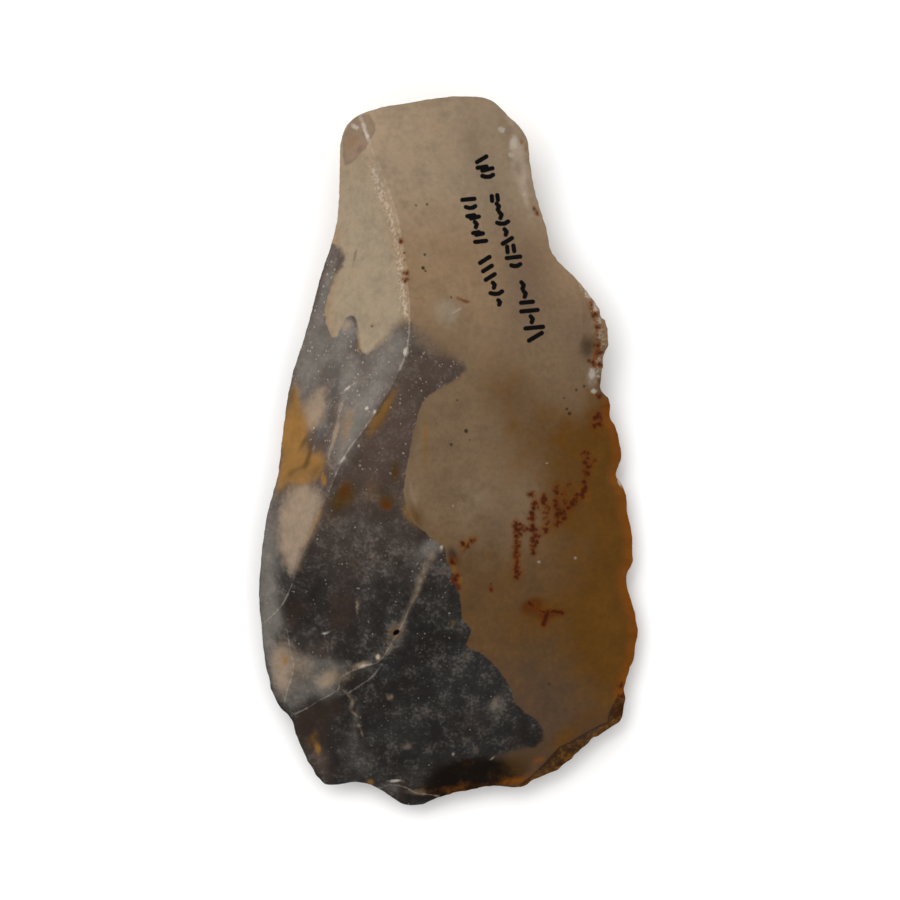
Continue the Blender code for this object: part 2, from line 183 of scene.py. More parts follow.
# Swells and hollows: middle x, y, half width, half length, lean in degrees, strength.
swells = [
    (-4.5, -1, 4.5, 13, 3, -0.069), (-6.5, -21, 5, 12, 20, -0.085), (9, -12, 9, 16, 0, -0.012),
    (3, 28, 7, 18, -14, -0.018), (0, -34, 10, 7, 0, -0.038), (16, -28, 7, 10, 0, -0.01),
    (-14, -36, 6, 6, 0, -0.03),
]
hollows = [
    (-13.5, -14, 4.5, 9, 25, 0.045), (-12.5, 24, 4.5, 16, -14, 0.01), (-13, 4, 2.2, 6, 26, 0.05),
    (-19, 4, 2.5, 7, 8, 0.02), (-20.5, -11, 2, 5, 20, 0.04), (-18.2, -27.5, 2.8, 4, 30, 0.06),
    (-17, -38.5, 3.4, 3.4, 20, 0.05), (-23.2, -28.5, 1, 3.6, -4, 0.08),
]
platformLine = [
    (-13.7, 44.1, 7), (-12.2, 43.4, 4.2), (-9, 44.4, 2.6), (-5, 45.2, 2.2), (0.5, 45.9, 2.1),
    (4.8, 45.4, 2.4), (7.6, 43.6, 3.2), (10, 43.4, 5.6),
]
bulb = [(-1.5, 35.5, 5.5, 7.0, 0.0, 0.16)]

# Runs of small scars along the outline: from, to, pitch, reach inwards, depth, seed.
edgeRuns = [
    ((22.05, 6.5), (23.9, -32.3), 1.15, 0.55, 0.1, 3), ((24.1, -33.9), (10.6, -45.3), 2.6, 1.9, 0.34, 5),
    ((24.1, -33.9), (10.6, -45.3), 1.1, 0.9, 0.2, 8), ((10.6, -45.3), (-12.4, -44.9), 2.4, 0.8, 0.12, 13),
    ((-16.9, -45), (-24.6, -30.4), 2.1, 1, 0.18, 21), ((-25.3, -24.5), (-15, 32.4), 2.7, 0.45, 0.07, 34),
    ((10.7, 41.8), (20.3, 19.5), 1.9, 0.65, 0.12, 55), ((20.3, 19.5), (20.8, 8.8), 2.3, 1.7, 0.38, 89),
    ((20.3, 19.5), (20.8, 8.8), 0.9, 0.8, 0.2, 144), ((-12, 45.4), (8, 45.4), 2.5, 0.45, 0.07, 233),
]

# Single spalls: middle x, y, half width, half length, lean, depth.
spalls = [
    (23.5, -4, 0.7, 1, -20, 0.26), (-7.1, -24.1, 0.42, 0.52, 30, 0.55), (-7.1, -24.1, 1, 1.1, 0, 0.1),
    (19.6, 14.2, 0.9, 1.6, 10, 0.35), (12, 32.6, 0.45, 0.9, 10, 0.18), (-16, -31.4, 2.3, 1.3, 60, 0.2),
    (-22.9, -28.4, 1.3, 2, -10, 0.2), (-19.6, -26.6, 1.5, 2.4, 30, 0.14),
    (-11.9, -29.6, 0.55, 1.5, 70, 0.24), (-10.6, -31.4, 2, 1.3, 60, 0.2),
    (-7.7, -33.3, 0.7, 0.9, 20, 0.16), (-12.9, -34.9, 0.6, 0.9, 0, 0.22), (-12, -37.4, 0.6, 0.7, 10, 0.2),
    (16, -40.7, 1.1, 0.8, 60, 0.34), (13.9, -41.6, 0.8, 0.7, 50, 0.26), (20.7, -37.7, 1.2, 0.8, 60, 0.26),
    (-5.2, -46.9, 1.1, 0.5, 90, 0.24), (-18.2, -40.6, 0.7, 1, 10, 0.14), (8.7, 42.3, 0.8, 1.2, -15, 0.16),
    (9.7, 38.4, 0.7, 1.1, -10, 0.14), (7.3, 44.4, 0.6, 0.8, -20, 0.12), (-12.7, 42.6, 0.9, 1.6, -12, 0.12),
    (-17, -3.9, 0.5, 0.9, 10, 0.16), (-13.4, 8.9, 0.35, 0.6, -40, 0.12), (-5.3, -5.4, 0.45, 1.6, 8, 0.06),
    (19.6, 9.3, 0.6, 0.9, 0, 0.22),
]


# ---- drawing the lines and filling the plan with triangles

def smoothLine(knots, step, closed=False):
    # a centripetal curve through the knots
    knots = np.array(knots, float)
    if closed:
        padded = np.vstack([knots[-1:], knots, knots[:2]])
    else:
        padded = np.vstack([2 * knots[0] - knots[1], knots, 2 * knots[-1] - knots[-2]])
    points = []
    for before, start, end, after in zip(padded, padded[1:], padded[2:], padded[3:]):
        points.extend(curveSpan(before, start, end, after, step))
    if not closed:
        points.append(knots[-1])
    return np.array(points)


def curveSpan(before, start, end, after, step):
    legs = ((before, start), (start, end), (end, after))
    gapIn, gap, gapOut = (math.sqrt(np.linalg.norm((b - a)[:2])) for a, b in legs)
    leave = (start - before) / gapIn - (end - before) / (gapIn + gap) + (end - start) / gap
    arrive = (end - start) / gap - (after - start) / (gap + gapOut) + (after - end) / gapOut
    count = max(1, round(gap * gap / step))
    t = (np.arange(count) / count)[:, None]
    return (
        start * (2 * t**3 - 3 * t**2 + 1) + end * (3 * t**2 - 2 * t**3)
        + leave * gap * (t**3 - 2 * t**2 + t) + arrive * gap * (t**3 - t**2)
    )


def nearestIndex(points, target):
    return int(np.argmin(np.linalg.norm(points[:, :2] - np.array(target[:2]), axis=1)))


def snapEnds(line, targets, reach):
    for end in (0, -1):
        target = targets[nearestIndex(targets, line[end])]
        if np.linalg.norm(target[:2] - line[end, :2]) < reach:
            line[end, :2] = target[:2]
    return line


def keepInside(line, outline):
    # drops the points, other than the two ends, that lie outside the outline or almost on it
    clear = insideLoop(line, outline) & (distanceTo(line, outline) > stone["clearOfRim"] * stone["lineStep"])
    clear[[0, -1]] = True
    return line[clear]


def distanceTo(points, others):
    # how far each point is from the nearest of the others
    tree = kdtree.KDTree(len(others))
    for index, other in enumerate(others):
        tree.insert((other[0], other[1], 0.0), index)
    tree.balance()
    return np.array([tree.find((point[0], point[1], 0.0))[2] for point in points])


def insideLoop(points, loop):
    crossings = np.zeros(len(points), int)
    for (x0, y0), (x1, y1) in zip(loop[:, :2], np.roll(loop[:, :2], -1, axis=0)):
        spans = (y0 > points[:, 1]) != (y1 > points[:, 1])
        xThere = x0 + (points[:, 1] - y0) / (y1 - y0 if y1 != y0 else 1.0) * (x1 - x0)
        crossings += spans & (points[:, 0] < xThere)
    return crossings % 2 == 1


def gridInside(outline, step):
    # a grid of equal triangles inside the outline
    low = outline[:, :2].min(axis=0)
    high = outline[:, :2].max(axis=0)
    rowGap = step * math.sqrt(3) / 2
    grid = np.array([
        (low[0] + step * (column + 0.5 * (row % 2)), low[1] + row * rowGap)
        for row in range(int((high[1] - low[1]) / rowGap) + 1)
        for column in range(int((high[0] - low[0]) / step) + 1)
    ])
    return grid[insideLoop(grid, outline)]


def cutPlan(outline, lines, step, detail=None):
    # triangulates the plan with the outline and every line as edges, finer round the detail points
    held = np.vstack([outline[:, :2]] + [line[:, :2] for line in lines])
    grid = gridInside(outline, step)
    grid = grid[distanceTo(grid, held) > stone["clearOfLines"] * step]
    if detail is not None:
        grid = grid[distanceTo(grid, detail) > stone["coarseFrom"]]
        fine = gridInside(outline, stone["detailStep"])
        fine = fine[distanceTo(fine, detail) < stone["fineWithin"]]
        fine = fine[distanceTo(fine, held) > stone["clearOfLines"] * stone["detailStep"]]
        grid = np.vstack([grid, fine])
    points = [Vector(point[:2]) for point in outline]
    edges = [(i, (i + 1) % len(outline)) for i in range(len(outline))]
    for line in lines:
        start = len(points)
        points += [Vector(point[:2]) for point in line]
        edges += [(start + i, start + i + 1) for i in range(len(line) - 1)]
    points += [Vector(point) for point in grid]
    weldGap = 1e-5
    found = delaunay_2d_cdt(points, edges, [], 0, weldGap, True)
    plan = np.array([tuple(point) for point in found[0]])
    triangles = np.array(found[2])
    return plan, triangles[insideLoop(plan[triangles].mean(axis=1), outline)], found[3]


def twiceArea(plan, a, b, c):
    toB = plan[b] - plan[a]
    toC = plan[c] - plan[a]
    return np.abs(toB[:, 0] * toC[:, 1] - toB[:, 1] * toC[:, 0])


def cornerPull(plan, a, b, c):
    dot = ((plan[b] - plan[a]) * (plan[c] - plan[a])).sum(axis=1)
    return 0.5 * dot / twiceArea(plan, a, b, c)


def stretchFilm(plan, triangles, held, sag):
    # heights of a film held where held is a number, sagging by sag elsewhere
    a, b, c = triangles.T
    corners = ((a, b, c), (b, c, a), (c, a, b))
    first = np.concatenate([j for _, j, _ in corners])
    second = np.concatenate([k for _, _, k in corners])
    pull = np.concatenate([cornerPull(plan, *corner) for corner in corners])
    size = len(plan)
    area = twiceArea(plan, a, b, c) / 2
    share = sum(np.bincount(corner, area, size) for corner in (a, b, c)) / 3
    free = np.isnan(held)
    stiffness = np.bincount(first, pull, size) + np.bincount(second, pull, size)

    def tension(height):
        flow = pull * (height[first] - height[second])
        return np.bincount(first, flow, size) - np.bincount(second, flow, size)

    height = np.where(free, np.nanmean(held), held)
    left = np.where(free, -sag * share - tension(height), 0.0)
    scaled = left / stiffness
    way = scaled
    energy = left @ scaled
    settled = 1e-6
    while np.abs(left).max() > settled:
        pushed = np.where(free, tension(way), 0.0)
        stride = energy / (way @ pushed)
        height = height + stride * way
        left = left - stride * pushed
        scaled = left / stiffness
        energy, before = left @ scaled, energy
        way = scaled + way * energy / before
    return height


def heldHeights(sources, stacked, known):
    held = np.full(len(sources), np.nan)
    for index, cameFrom in enumerate(sources):
        values = [stacked[i] for i in cameFrom if i < len(stacked) and known[i]]
        if values:
            held[index] = values[0]
    return held


def turned(plan, x, y, lean):
    # along and across an oval that leans by so many degrees from +y towards +x
    turn = math.radians(lean)
    along = (plan - (x, y)) @ (math.sin(turn), math.cos(turn))
    across = (plan - (x, y)) @ (math.cos(turn), -math.sin(turn))
    return along, across


def softOvals(plan, ovals):
    total = np.zeros(len(plan))
    for x, y, halfWidth, halfLength, lean, strength in ovals:
        along, across = turned(plan, x, y, lean)
        total += strength * np.exp(-(along / halfLength) ** 2 - (across / halfWidth) ** 2)
    return total


def crispOvals(plan, ovals):
    # millimetres inside the nearest oval's rim, below 0 outside
    best = np.full(len(plan), farOutside)
    for x, y, halfWidth, halfLength, lean in ovals:
        along, across = turned(plan, x, y, lean)
        reach = np.sqrt((along / halfLength) ** 2 + (across / halfWidth) ** 2)
        best = np.maximum(best, (1 - reach) * min(halfWidth, halfLength))
    return best


def scoopDepths(plan, scoops):
    # crisp-rimmed hollows; where two overlap the deeper one counts, which leaves a cusp between
    depth = np.zeros(len(plan))
    for x, y, halfWidth, halfLength, lean, deepest in scoops:
        reach = 1.05 * max(halfWidth, halfLength)
        near = (np.abs(plan[:, 0] - x) < reach) & (np.abs(plan[:, 1] - y) < reach)
        along, across = turned(plan[near], x, y, lean)
        bowl = 1 - (along / halfLength) ** 2 - (across / halfWidth) ** 2
        depth[near] = np.maximum(depth[near], deepest * bowl)
    return depth


def lineDistance(plan, line):
    # how far each plan point is from an open line
    best = np.full(len(plan), 1e9)
    line = np.asarray(line, float)[:, :2]
    for start, end in zip(line, line[1:]):
        way = end - start
        t = np.clip((plan - start) @ way / (way @ way), 0, 1)
        best = np.minimum(best, np.hypot(*(plan - start - t[:, None] * way).T))
    return best


def loopDepth(plan, loop):
    # millimetres inside a closed loop, below 0 outside it
    loop = np.asarray(loop, float)[:, :2]
    away = lineDistance(plan, np.vstack([loop, loop[:1]]))
    return np.where(insideLoop(plan, loop), away, -away)


# ---- the worked edges

def runOf(outline, start, end):
    # a stretch of the outline, with its inward direction and the distance walked
    first = nearestIndex(outline, start)
    last = nearestIndex(outline, end)
    rim = outline[first:last + 1, :2]
    heading = np.gradient(rim, axis=0)
    heading /= np.linalg.norm(heading, axis=1)[:, None]
    walked = np.append(0.0, np.cumsum(np.linalg.norm(np.diff(rim, axis=0), axis=1)))
    return rim, heading, walked


def edgeScoops(outline, start, end, pitch, reach, depth, seed):
    dice = random.Random(seed)
    rim, heading, walked = runOf(outline, start, end)
    scoops = []
    place = 0.0
    while place < walked[-1]:
        step = pitch * dice.uniform(*stone["scarPitch"])
        index = min(int(np.searchsorted(walked, place + step / 2)), len(rim) - 1)
        lean = math.degrees(math.atan2(*heading[index]))
        scoops.append((
            *rim[index], reach * dice.uniform(*stone["scarReach"]), step * stone["scarHalf"], lean,
            depth * dice.uniform(*stone["scarDepth"]),
        ))
        place += step
    return scoops


def retouch(outline):
    # the line of arcs where the scoops of the working edge end, and the scoops themselves
    first = nearestIndex(outline, workingEdge[0])
    last = nearestIndex(outline, workingEdge[-3])
    rim, heading, walked = runOf(outline, workingEdge[0], workingEdge[-3])
    inward = np.column_stack([heading[:, 1], -heading[:, 0]])
    phase = walked / stone["retouchPitch"]
    phase = phase + stone["retouchWander"] * (np.sin(2.1 * phase) + 0.6 * np.sin(3.7 * phase + 1))
    reach = stone["retouchLeast"] + stone["retouchReach"] * np.abs(np.sin(math.pi * phase))
    line = np.column_stack([rim + inward * reach[:, None], np.full(len(rim), stone["retouchRise"])])
    line[0] = (*outline[first, :2], 0.0)
    line[-1] = (*outline[last, :2], 0.0)
    scoops = []
    for number in range(int(phase[-1])):
        index = int(np.argmin(np.abs(phase - number - 0.5)))
        ends = np.interp([number, number + 1], phase, walked)
        lean = math.degrees(math.atan2(*heading[index]))
        halfLength = stone["scoopHalf"] * (ends[1] - ends[0])
        scoops.append((*rim[index], reach[index], halfLength, lean, stone["scoopDepth"]))
    return line, scoops


def nickOutline(outline, scoops):
    # the rim bites in a little at each scoop, and is never quite smooth
    heading = np.roll(outline[:, :2], -1, axis=0) - np.roll(outline[:, :2], 1, axis=0)
    heading /= np.linalg.norm(heading, axis=1)[:, None]
    inward = np.column_stack([heading[:, 1], -heading[:, 0]])
    bite = stone["nick"] * scoopDepths(outline[:, :2], scoops)
    small, large = (ripple(outline[:, :2], values) for values in stone["rimRipples"])
    bite += small + large - stone["rimOut"]
    nicked = outline.copy()
    nicked[:, :2] += inward * bite[:, None]
    return nicked


def ripple(plan, values):
    # smooth noise from about -height to height, with features of that size in mm
    height, size, layer = values
    return height * np.array([
        noise.fractal(Vector((x / size, y / size, layer)), 1.0, 2.0, 2) for x, y in plan
    ])


# ---- ink: rows of short pen strokes with no letters in them

ink = {
    "rows": [  # word start, word end, stroke height
        ((4.3, 40.2), (5.4, 36.6), 2.1), ((6.0, 34.9), (9.2, 24.6), 2.0),
        ((9.7, 23.1), (11.9, 15.1), 2.2), ((2.4, 34.6), (4.4, 27.8), 1.7),
        ((4.7, 26.5), (6.9, 19.6), 1.8),
    ],
    "pitch": 1.16,
    "penWidth": 0.60,
    "seed": 12,
    "field": (0, 16, 12, 44),    # x from and to, y from and to
    "strokes": [  # each a few plain pen strokes, across the row and up it in shares of the height
        [[(-0.08, 0.0), (0.08, 1.0)]],
        [[(-0.16, 0.10), (-0.02, 0.34), (0.04, 0.64), (-0.04, 0.92)]],
        [[(-0.20, 0.30), (0.16, 0.22)], [(-0.16, 0.72), (0.20, 0.66)]],
        [[(0.14, 0.0), (-0.10, 0.85)]],
        [[(-0.12, 0.0), (-0.06, 0.6)], [(0.14, 0.25), (0.16, 0.95)]],
        [[(-0.2, 0.48), (0.0, 0.58), (0.2, 0.44)]],
    ],
}


def inkStrokes():
    dice = random.Random(ink["seed"])
    strokes = []
    for start, end, height in ink["rows"]:
        start, end = np.array(start), np.array(end)
        way = (end - start) / np.linalg.norm(end - start)
        up = np.array([-way[1], way[0]])
        count = max(2, round(np.linalg.norm(end - start) / ink["pitch"]))
        for number in range(count):
            shape = ink["strokes"][dice.randrange(len(ink["strokes"]))]
            base = start + (end - start) * (number + 0.5) / count
            tall = height * dice.uniform(0.72, 1.08)
            for stroke in shape:
                strokes.append(np.array([
                    base + way * across * tall + up * (along - 0.45) * tall for across, along in stroke
                ]))
    return strokes


# ---- marks and stains: where they lie on the upper face

marks = {
    # the border of the tan skin: all inside this loop is tan, and the rest is the grey heart
    "patinaLoop": [
        (-18, 28.8), (-15.8, 28.4), (-14.6, 27.8), (-14.1, 26.5), (-14.4, 25.2), (-15.5, 23.8),
        (-16.2, 22), (-16.9, 19.3), (-16.6, 17.5), (-15.9, 15.5), (-15.2, 15.6), (-14.8, 16.3),
        (-14.5, 17.1), (-13.9, 18.1), (-13.2, 18.5), (-12.6, 18.1), (-12.2, 16.9), (-12, 14.4),
        (-11.6, 13.4), (-11, 13.2), (-10, 14), (-8.3, 14.9), (-7.2, 16.6), (-5.9, 17.6), (-4.8, 16.8),
        (-3.4, 15), (-1.6, 13), (0.6, 12.4), (1.9, 12), (2.3, 11.2), (1.5, 10.3), (0, 9.3), (-2.7, 7.6),
        (-3.6, 6.6), (-4.2, 5), (-4.8, 2.5), (-5.3, 0), (-6, -5), (-5.6, -7.5), (-4.8, -9.2),
        (-3.6, -10.2), (-2.2, -11.6), (-0.6, -12.4), (-0.3, -14.3), (0.7, -16), (1.3, -17.8), (1.7, -22),
        (3.1, -23.8), (2.2, -25.8), (4.4, -27), (6.5, -28.9), (8.6, -32), (8.8, -33.6), (10.5, -35.3),
        (11.9, -36.2), (12.8, -37.6), (12.7, -38.9), (11.8, -39.9), (9.5, -40.2), (7.8, -41), (6, -41.8),
        (5, -47), (34, -47), (34, 54), (-26, 54), (-26, 30),
    ],
    # closes the worn band at the corner, past the outline
    "beyondBand": [(12.0, -49.0, 0.0), (30.0, -42.0, 0.0), (27.0, -31.0, 0.0)],
    # crust left on the grey below the pale scar's ridge
    "paleLoop": [
        (-20.6, -3.9), (-18.6, -4), (-17.2, -4.9), (-16.9, -6.5), (-17.1, -8.5), (-17.7, -10.4),
        (-19, -12.9), (-20.3, -15.4), (-21.2, -16.6), (-22, -15.7), (-23.4, -13.2), (-23.5, -10.4),
        (-23.2, -7.8), (-22.2, -5.4),
    ],
    # a hazy facet above the heel, from the back to the crossing ridge; its veil is partly painted light on
    # this lit facet
    "heelLoop": [
        (-25.4, -22), (-23.6, -21.8), (-22.6, -25.2), (-20.6, -26.6), (-17.6, -27), (-14.8, -27.4),
        (-12.8, -28), (-13.4, -29.8), (-14.9, -31.8), (-17.6, -33.5), (-21.6, -35.9), (-23.6, -34.6),
        (-25.4, -30),
    ],
    # clear pink-brown flint where a chip took the skin off the butt's corner
    "cornerLoop": [
        (-14.4, 42.6), (-13.1, 44.9), (-12, 45.4), (-10.7, 45.5), (-9.9, 44.2), (-9.9, 43.2),
        (-10.4, 42.1), (-10.9, 41.4), (-11.1, 40.8), (-12.3, 39.7), (-13.4, 38.9), (-14.1, 38.7),
        (-14.4, 40),
    ],
    # smaller, softer patches of crust; those beside the vein and on the facet above the heel are partly
    # painted light on their lit slopes: x, y, half width, half length, lean, strength
    "pale": [
        (-17.4, -0.6, 0.14, 0.9, 20, 0.8), (-18.3, 0.5, 0.12, 0.8, 24, 0.7),
        (-4.7, -6.2, 0.3, 1.3, -20, 0.5), (-5.1, -4.4, 0.26, 0.8, 0, 0.45),
        (-22.6, -31.2, 1.3, 2.8, 10, 0.5), (1, 18.9, 0.3, 1.3, 60, 0.6), (0.4, 19.8, 0.2, 1, 70, 0.4),
        (-2.6, 25.6, 0.3, 0.5, -40, 0.5), (-18.5, 5.4, 1.8, 2.5, 20, 1.1), (-17.2, 8, 0.9, 1.4, 20, 0.4),
        (-15.1, 2.9, 0.34, 1.6, 14, 1), (-15.8, 0.4, 0.28, 1.5, 16, 0.6), (-14.6, 6, 0.3, 1.8, 18, 0.45),
        (-16.2, -30.4, 1.1, 1.6, 52, 0.9), (-23, -27.6, 1.3, 2.6, 8, 0.7),
        (-20, -28.6, 2.2, 1.4, 60, 0.35), (-3.4, -16, 0.65, 2.8, 20, 0.5),
        (-4.8, -19.6, 0.55, 2.4, 26, 0.34), (-6, -22.4, 0.45, 1.4, 24, 0.3),
        (-7, -24.1, 1.3, 1.5, 50, 0.4), (-8, -26.4, 0.4, 1.4, 28, 0.4), (-2.2, -13.8, 0.6, 0.6, 0, 0.5),
        (-1, -12.9, 0.4, 0.5, 0, 0.6), (6.2, -33.8, 0.6, 1.6, 24, 0.45),
        (-11.7, -28.4, 0.42, 1.2, 72, 0.8), (-12.3, -20.6, 0.2, 1.2, 0, 0.75),
        (-13.8, -32.6, 0.24, 0.9, -40, 0.6), (-13.1, -34, 0.34, 0.8, 10, 0.55),
        (-12.7, -35.4, 0.22, 0.6, -50, 0.7), (-12.2, -36.9, 0.3, 0.3, 0, 0.7),
        (-11.8, -38, 0.18, 0.7, -20, 0.6), (-8.2, -33, 0.3, 0.7, -20, 0.45),
        (-4.4, -46.2, 0.5, 1.5, 90, 0.5), (-20.5, -29.5, 3, 3.2, 0, 0.22), (9.4, 38.4, 0.8, 1.6, -10, 0.7),
        (19.1, 21.7, 0.4, 1.6, -38, 0.5), (-5.6, -39.8, 0.5, 0.8, 80, 0.5),
        (-7.7, -32.9, 0.3, 0.5, 0, 0.6), (-9.5, -27.3, 0.35, 0.45, 0, 0.9), (-8, 14.2, 2, 0.8, 66, 0.4),
        (-4.3, -5.2, 0.35, 1.3, 0, 0.3), (-3.4, 26.5, 0.6, 1, 0, 0.55), (-13.9, 17.2, 0.6, 1, 60, 0.9),
        (-11.9, 13.9, 0.2, 0.9, 0, 0.5), (-12, 9.6, 0.8, 1.2, 30, 0.3), (-13.2, 12.2, 0.12, 1.6, 4, 0.5),
        (-12.7, 12, 0.1, 1.4, -4, 0.4), (19, 21.3, 0.22, 1.6, -40, 0.6), (19.5, 10.3, 0.8, 1.3, 0, 1.2),
        (0.6, 18.4, 1.6, 0.7, 60, 0.3), (-13.2, 43.4, 0.9, 1, -30, 0.45),
        (-13.6, -30.2, 0.8, 1.6, 50, 0.4), (-20.4, -5.2, 1, 0.7, 60, 0.5),
    ],
    # small white inclusions and chips
    "white": [
        (-5.7, 13.3, 0.3, 0.6, 0), (-10.9, 5.9, 0.2, 0.22, 0), (-14.1, -0.9, 0.16, 0.5, 40),
        (-9.8, 5.4, 0.17, 0.22, 0), (-12, 0.9, 0.16, 0.18, 0), (-13.5, 8.7, 0.12, 0.7, 55),
        (-1, -12.6, 0.22, 0.25, 0), (7.15, 43.65, 0.5, 0.42, 0), (8.8, 42, 0.5, 1, 16),
        (8.45, 40.3, 0.34, 0.32, 0), (-11.45, 44, 0.24, 0.4, -20), (-11.1, 42.7, 0.22, 0.7, -24),
        (10.2, 35, 0.16, 0.16, 0), (19.5, 10.7, 0.45, 0.8, 0), (19.8, 8.3, 0.4, 0.35, 0),
        (19.9, 19.6, 0.12, 0.5, -30), (13.3, -1.4, 0.13, 0.13, 0), (-12.7, 43.9, 0.5, 0.3, 30),
        (0.6, -7.1, 0.13, 0.13, 0), (12.2, -14.7, 0.16, 0.13, 0), (17.2, -14.2, 0.16, 0.16, 0),
        (-11.4, -28.6, 0.2, 0.7, 75), (19.8, 20.5, 0.28, 1.3, -35), (-9.5, -27.4, 0.2, 0.3, 0),
        (23.4, -3.9, 0.3, 0.7, -15), (-7.3, -44.6, 0.16, 0.8, 88), (1.2, 19, 0.06, 0.7, 60),
        (0.6, -40.9, 0.14, 0.2, 0), (-18.2, 3.4, 0.12, 0.12, 0), (5.9, -41.5, 0.08, 0.2, 50),
        (-16.6, -24.3, 0.12, 0.4, 70),
    ],
    # soft stains, and soft patches of painted light and shade where noted: x, y, half width, half length,
    # lean, strength
    "amber": [
        (-21.6, 1.6, 1.4, 4.6, -3, 1.3), (-20, 3.2, 1.2, 3, 0, 0.8), (-20.9, 7.4, 0.7, 2.2, -2, 0.6),
        (-22.4, -3, 0.8, 2.4, 18, 0.9), (-19.2, -1.4, 1.7, 1.5, 0, 0.95),
        (-17.5, -1.6, 0.9, 1.9, 10, 0.75), (-19.8, -3.6, 1.6, 0.8, 0, 0.7),
        (-16.7, -3.6, 0.32, 0.7, -10, 1.3), (-13.7, 3.6, 0.9, 3.2, 12, 0.45),
        (-8.1, 6.6, 0.5, 2.4, 30, 0.75), (-9.7, 4, 0.9, 2.6, 36, 0.65), (-14, -5.1, 0.7, 1.3, 20, 0.4),
        (-8.4, -7, 0.5, 0.6, 0, 0.3), (-8.1, -6.9, 0.7, 0.8, 0, 0.3), (-5.4, -8.2, 0.6, 1.6, -26, 0.6),
        (-3.1, 1.6, 0.45, 4.6, 0, 0.5), (-4.2, 20.5, 0.7, 0.14, 0, 0.5), (-3.6, 14.2, 1.8, 2, 50, 0.25),
        (-12.1, 14.2, 0.2, 0.9, 0, 0.7), (-18, -9.6, 0.5, 3.6, 27, 0.45),
        (-17.9, -40.3, 0.4, 0.75, -10, 1), (-18.6, -39, 0.8, 1.6, 24, 0.4), (-10.7, -44.9, 0.5, 0.5, 0, 1),
        (0.6, -22.8, 0.3, 0.5, 0, 0.5), (-22.2, -28.1, 0.45, 0.9, 20, 0.8),
        (-15, -29.9, 0.5, 0.8, 60, 0.4), (-7.4, -24.2, 0.8, 0.8, 40, 0.2), (2, -12.4, 0.3, 0.9, 24, 0.8),
        (0.8, -15.2, 0.34, 0.9, 0, 0.7), (1.6, -17, 0.3, 0.6, 0, 0.6), (5.3, -13.8, 0.5, 0.6, 0, 0.45),
        (7.7, 43, 0.7, 2.8, -8, 0.3), (9.9, 42.1, 0.25, 0.4, 0, 1), (10.5, 41.2, 0.2, 0.6, 0, 0.8),
        (-13, 42, 0.9, 1.2, 0, 0.4), (-10.2, 17, 0.4, 0.3, 0, 0.6), (-5.5, 23, 0.4, 5, -4, 0.25),
        (-10.4, -4.6, 1.8, 2, 0, 0.25),
    ],
    # red-brown stains, partly painted shade: the hollow between the spine and the vein, and the facet below
    # the vein's lower end, are darkened where they lie in shade
    "redBrownAndPaintedShade": [
        (-20.9, -21.2, 1.6, 2.2, 30, 1), (-18.4, -36.2, 2.2, 3, 40, 1.4), (-15.2, -34.2, 1.4, 1, 60, 0.8),
        (-17.2, -38.8, 2.2, 1.8, 0, 0.55), (-14.4, -21.4, 2.8, 3.4, 0, 0.9),
        (23.3, -33.2, 0.5, 1.4, 10, 0.7), (18.8, 14.2, 1.2, 1.9, 0, 0.7), (-7.1, -24.1, 0.6, 0.7, 0, 0.8),
        (-11.2, 43, 0.5, 1.2, -20, 0.4), (-12, 40.8, 0.6, 0.9, 30, 0.4), (-6.3, -46.3, 2.4, 0.9, 90, 0.8),
        (-12.6, -30.9, 0.5, 1.6, 66, 0.7), (-12.8, -34.6, 0.3, 1, 0, 0.7), (10, -37.2, 1.6, 1.4, 0, 0.35),
        (-20, -15.4, 0.5, 1.8, 30, 0.6), (-12.7, 26.3, 0.2, 1.7, 12, 0.6), (0.6, -14, 0.8, 1.6, -16, 0.9),
        (-8.8, -4.6, 1.8, 2, 0, 0.55), (-13.2, -15.6, 2.8, 3, 0, 0.5), (3, -36.5, 3.2, 2.6, 0, 0.4),
        (9.6, -39.6, 2.4, 1.4, 60, 0.4), (19, -36.4, 2.4, 1.6, -50, 0.3),
    ],
    "olive": [
        (18.8, 14.2, 1.2, 1.9, 0, 0.5), (-13.4, -4.9, 1.3, 1.9, 20, 0.8), (-15, -7, 1, 1.9, 24, 0.75),
        (-8.2, -6.6, 1.2, 1.2, 0, 0.85), (-7.1, -2.6, 0.8, 2.2, 10, 0.6), (-8.9, 4.6, 0.8, 2.6, 34, 0.4),
        (-7, -24.1, 1, 1.2, 50, 0.5), (-19.6, 1.4, 0.3, 1.5, 30, 0.8), (-18.9, -0.5, 0.35, 1.7, 20, 0.8),
        (-20.4, -2.2, 0.35, 1.5, 60, 0.5), (-17.8, -2.5, 0.5, 1.3, 30, 0.45),
        (-21.4, 7.6, 0.7, 1.8, 0, 0.55), (-21.6, -2.8, 0.6, 1.6, 20, 0.4), (2.4, 2.8, 0.3, 0.4, 0, 0.5),
        (-18.7, 1, 0.3, 0.8, -10, 0.6), (-18.7, -2, 1.6, 1.1, 0, 0.3), (-20.6, -3.2, 0.4, 1.2, 86, 0.25),
        (-16.6, -2.4, 0.4, 1.2, 0, 0.4), (-7.3, -2.4, 0.6, 1.3, 0, 0.45), (-14, -6.2, 1.3, 1.2, 0, 0.45),
        (9.2, -42.6, 2, 2.4, 50, 0.7), (12.4, -40.2, 1, 2.4, 50, 0.4), (16.4, -12, 1.6, 4, -10, 0.2),
        (-21.4, -37.4, 0.4, 3, -20, 0.5), (-20.2, -40.4, 0.4, 3, -24, 0.5),
        (-5.2, -17.5, 0.6, 2.4, 0, 0.2), (-4.4, -8.4, 0.8, 2.4, -26, 0.65),
        (1.6, -14.4, 0.5, 1.8, -10, 0.5), (-3.4, 24.6, 0.2, 0.2, 0, 1), (-1.3, 21.9, 0.8, 0.5, 0, 0.3),
    ],
    "slate": [
        (-16, 6.4, 0.5, 3.2, 19, 0.95), (-17, 3, 0.7, 1.4, 20, 0.9), (-22.9, -6, 0.42, 1.6, 40, 0.5),
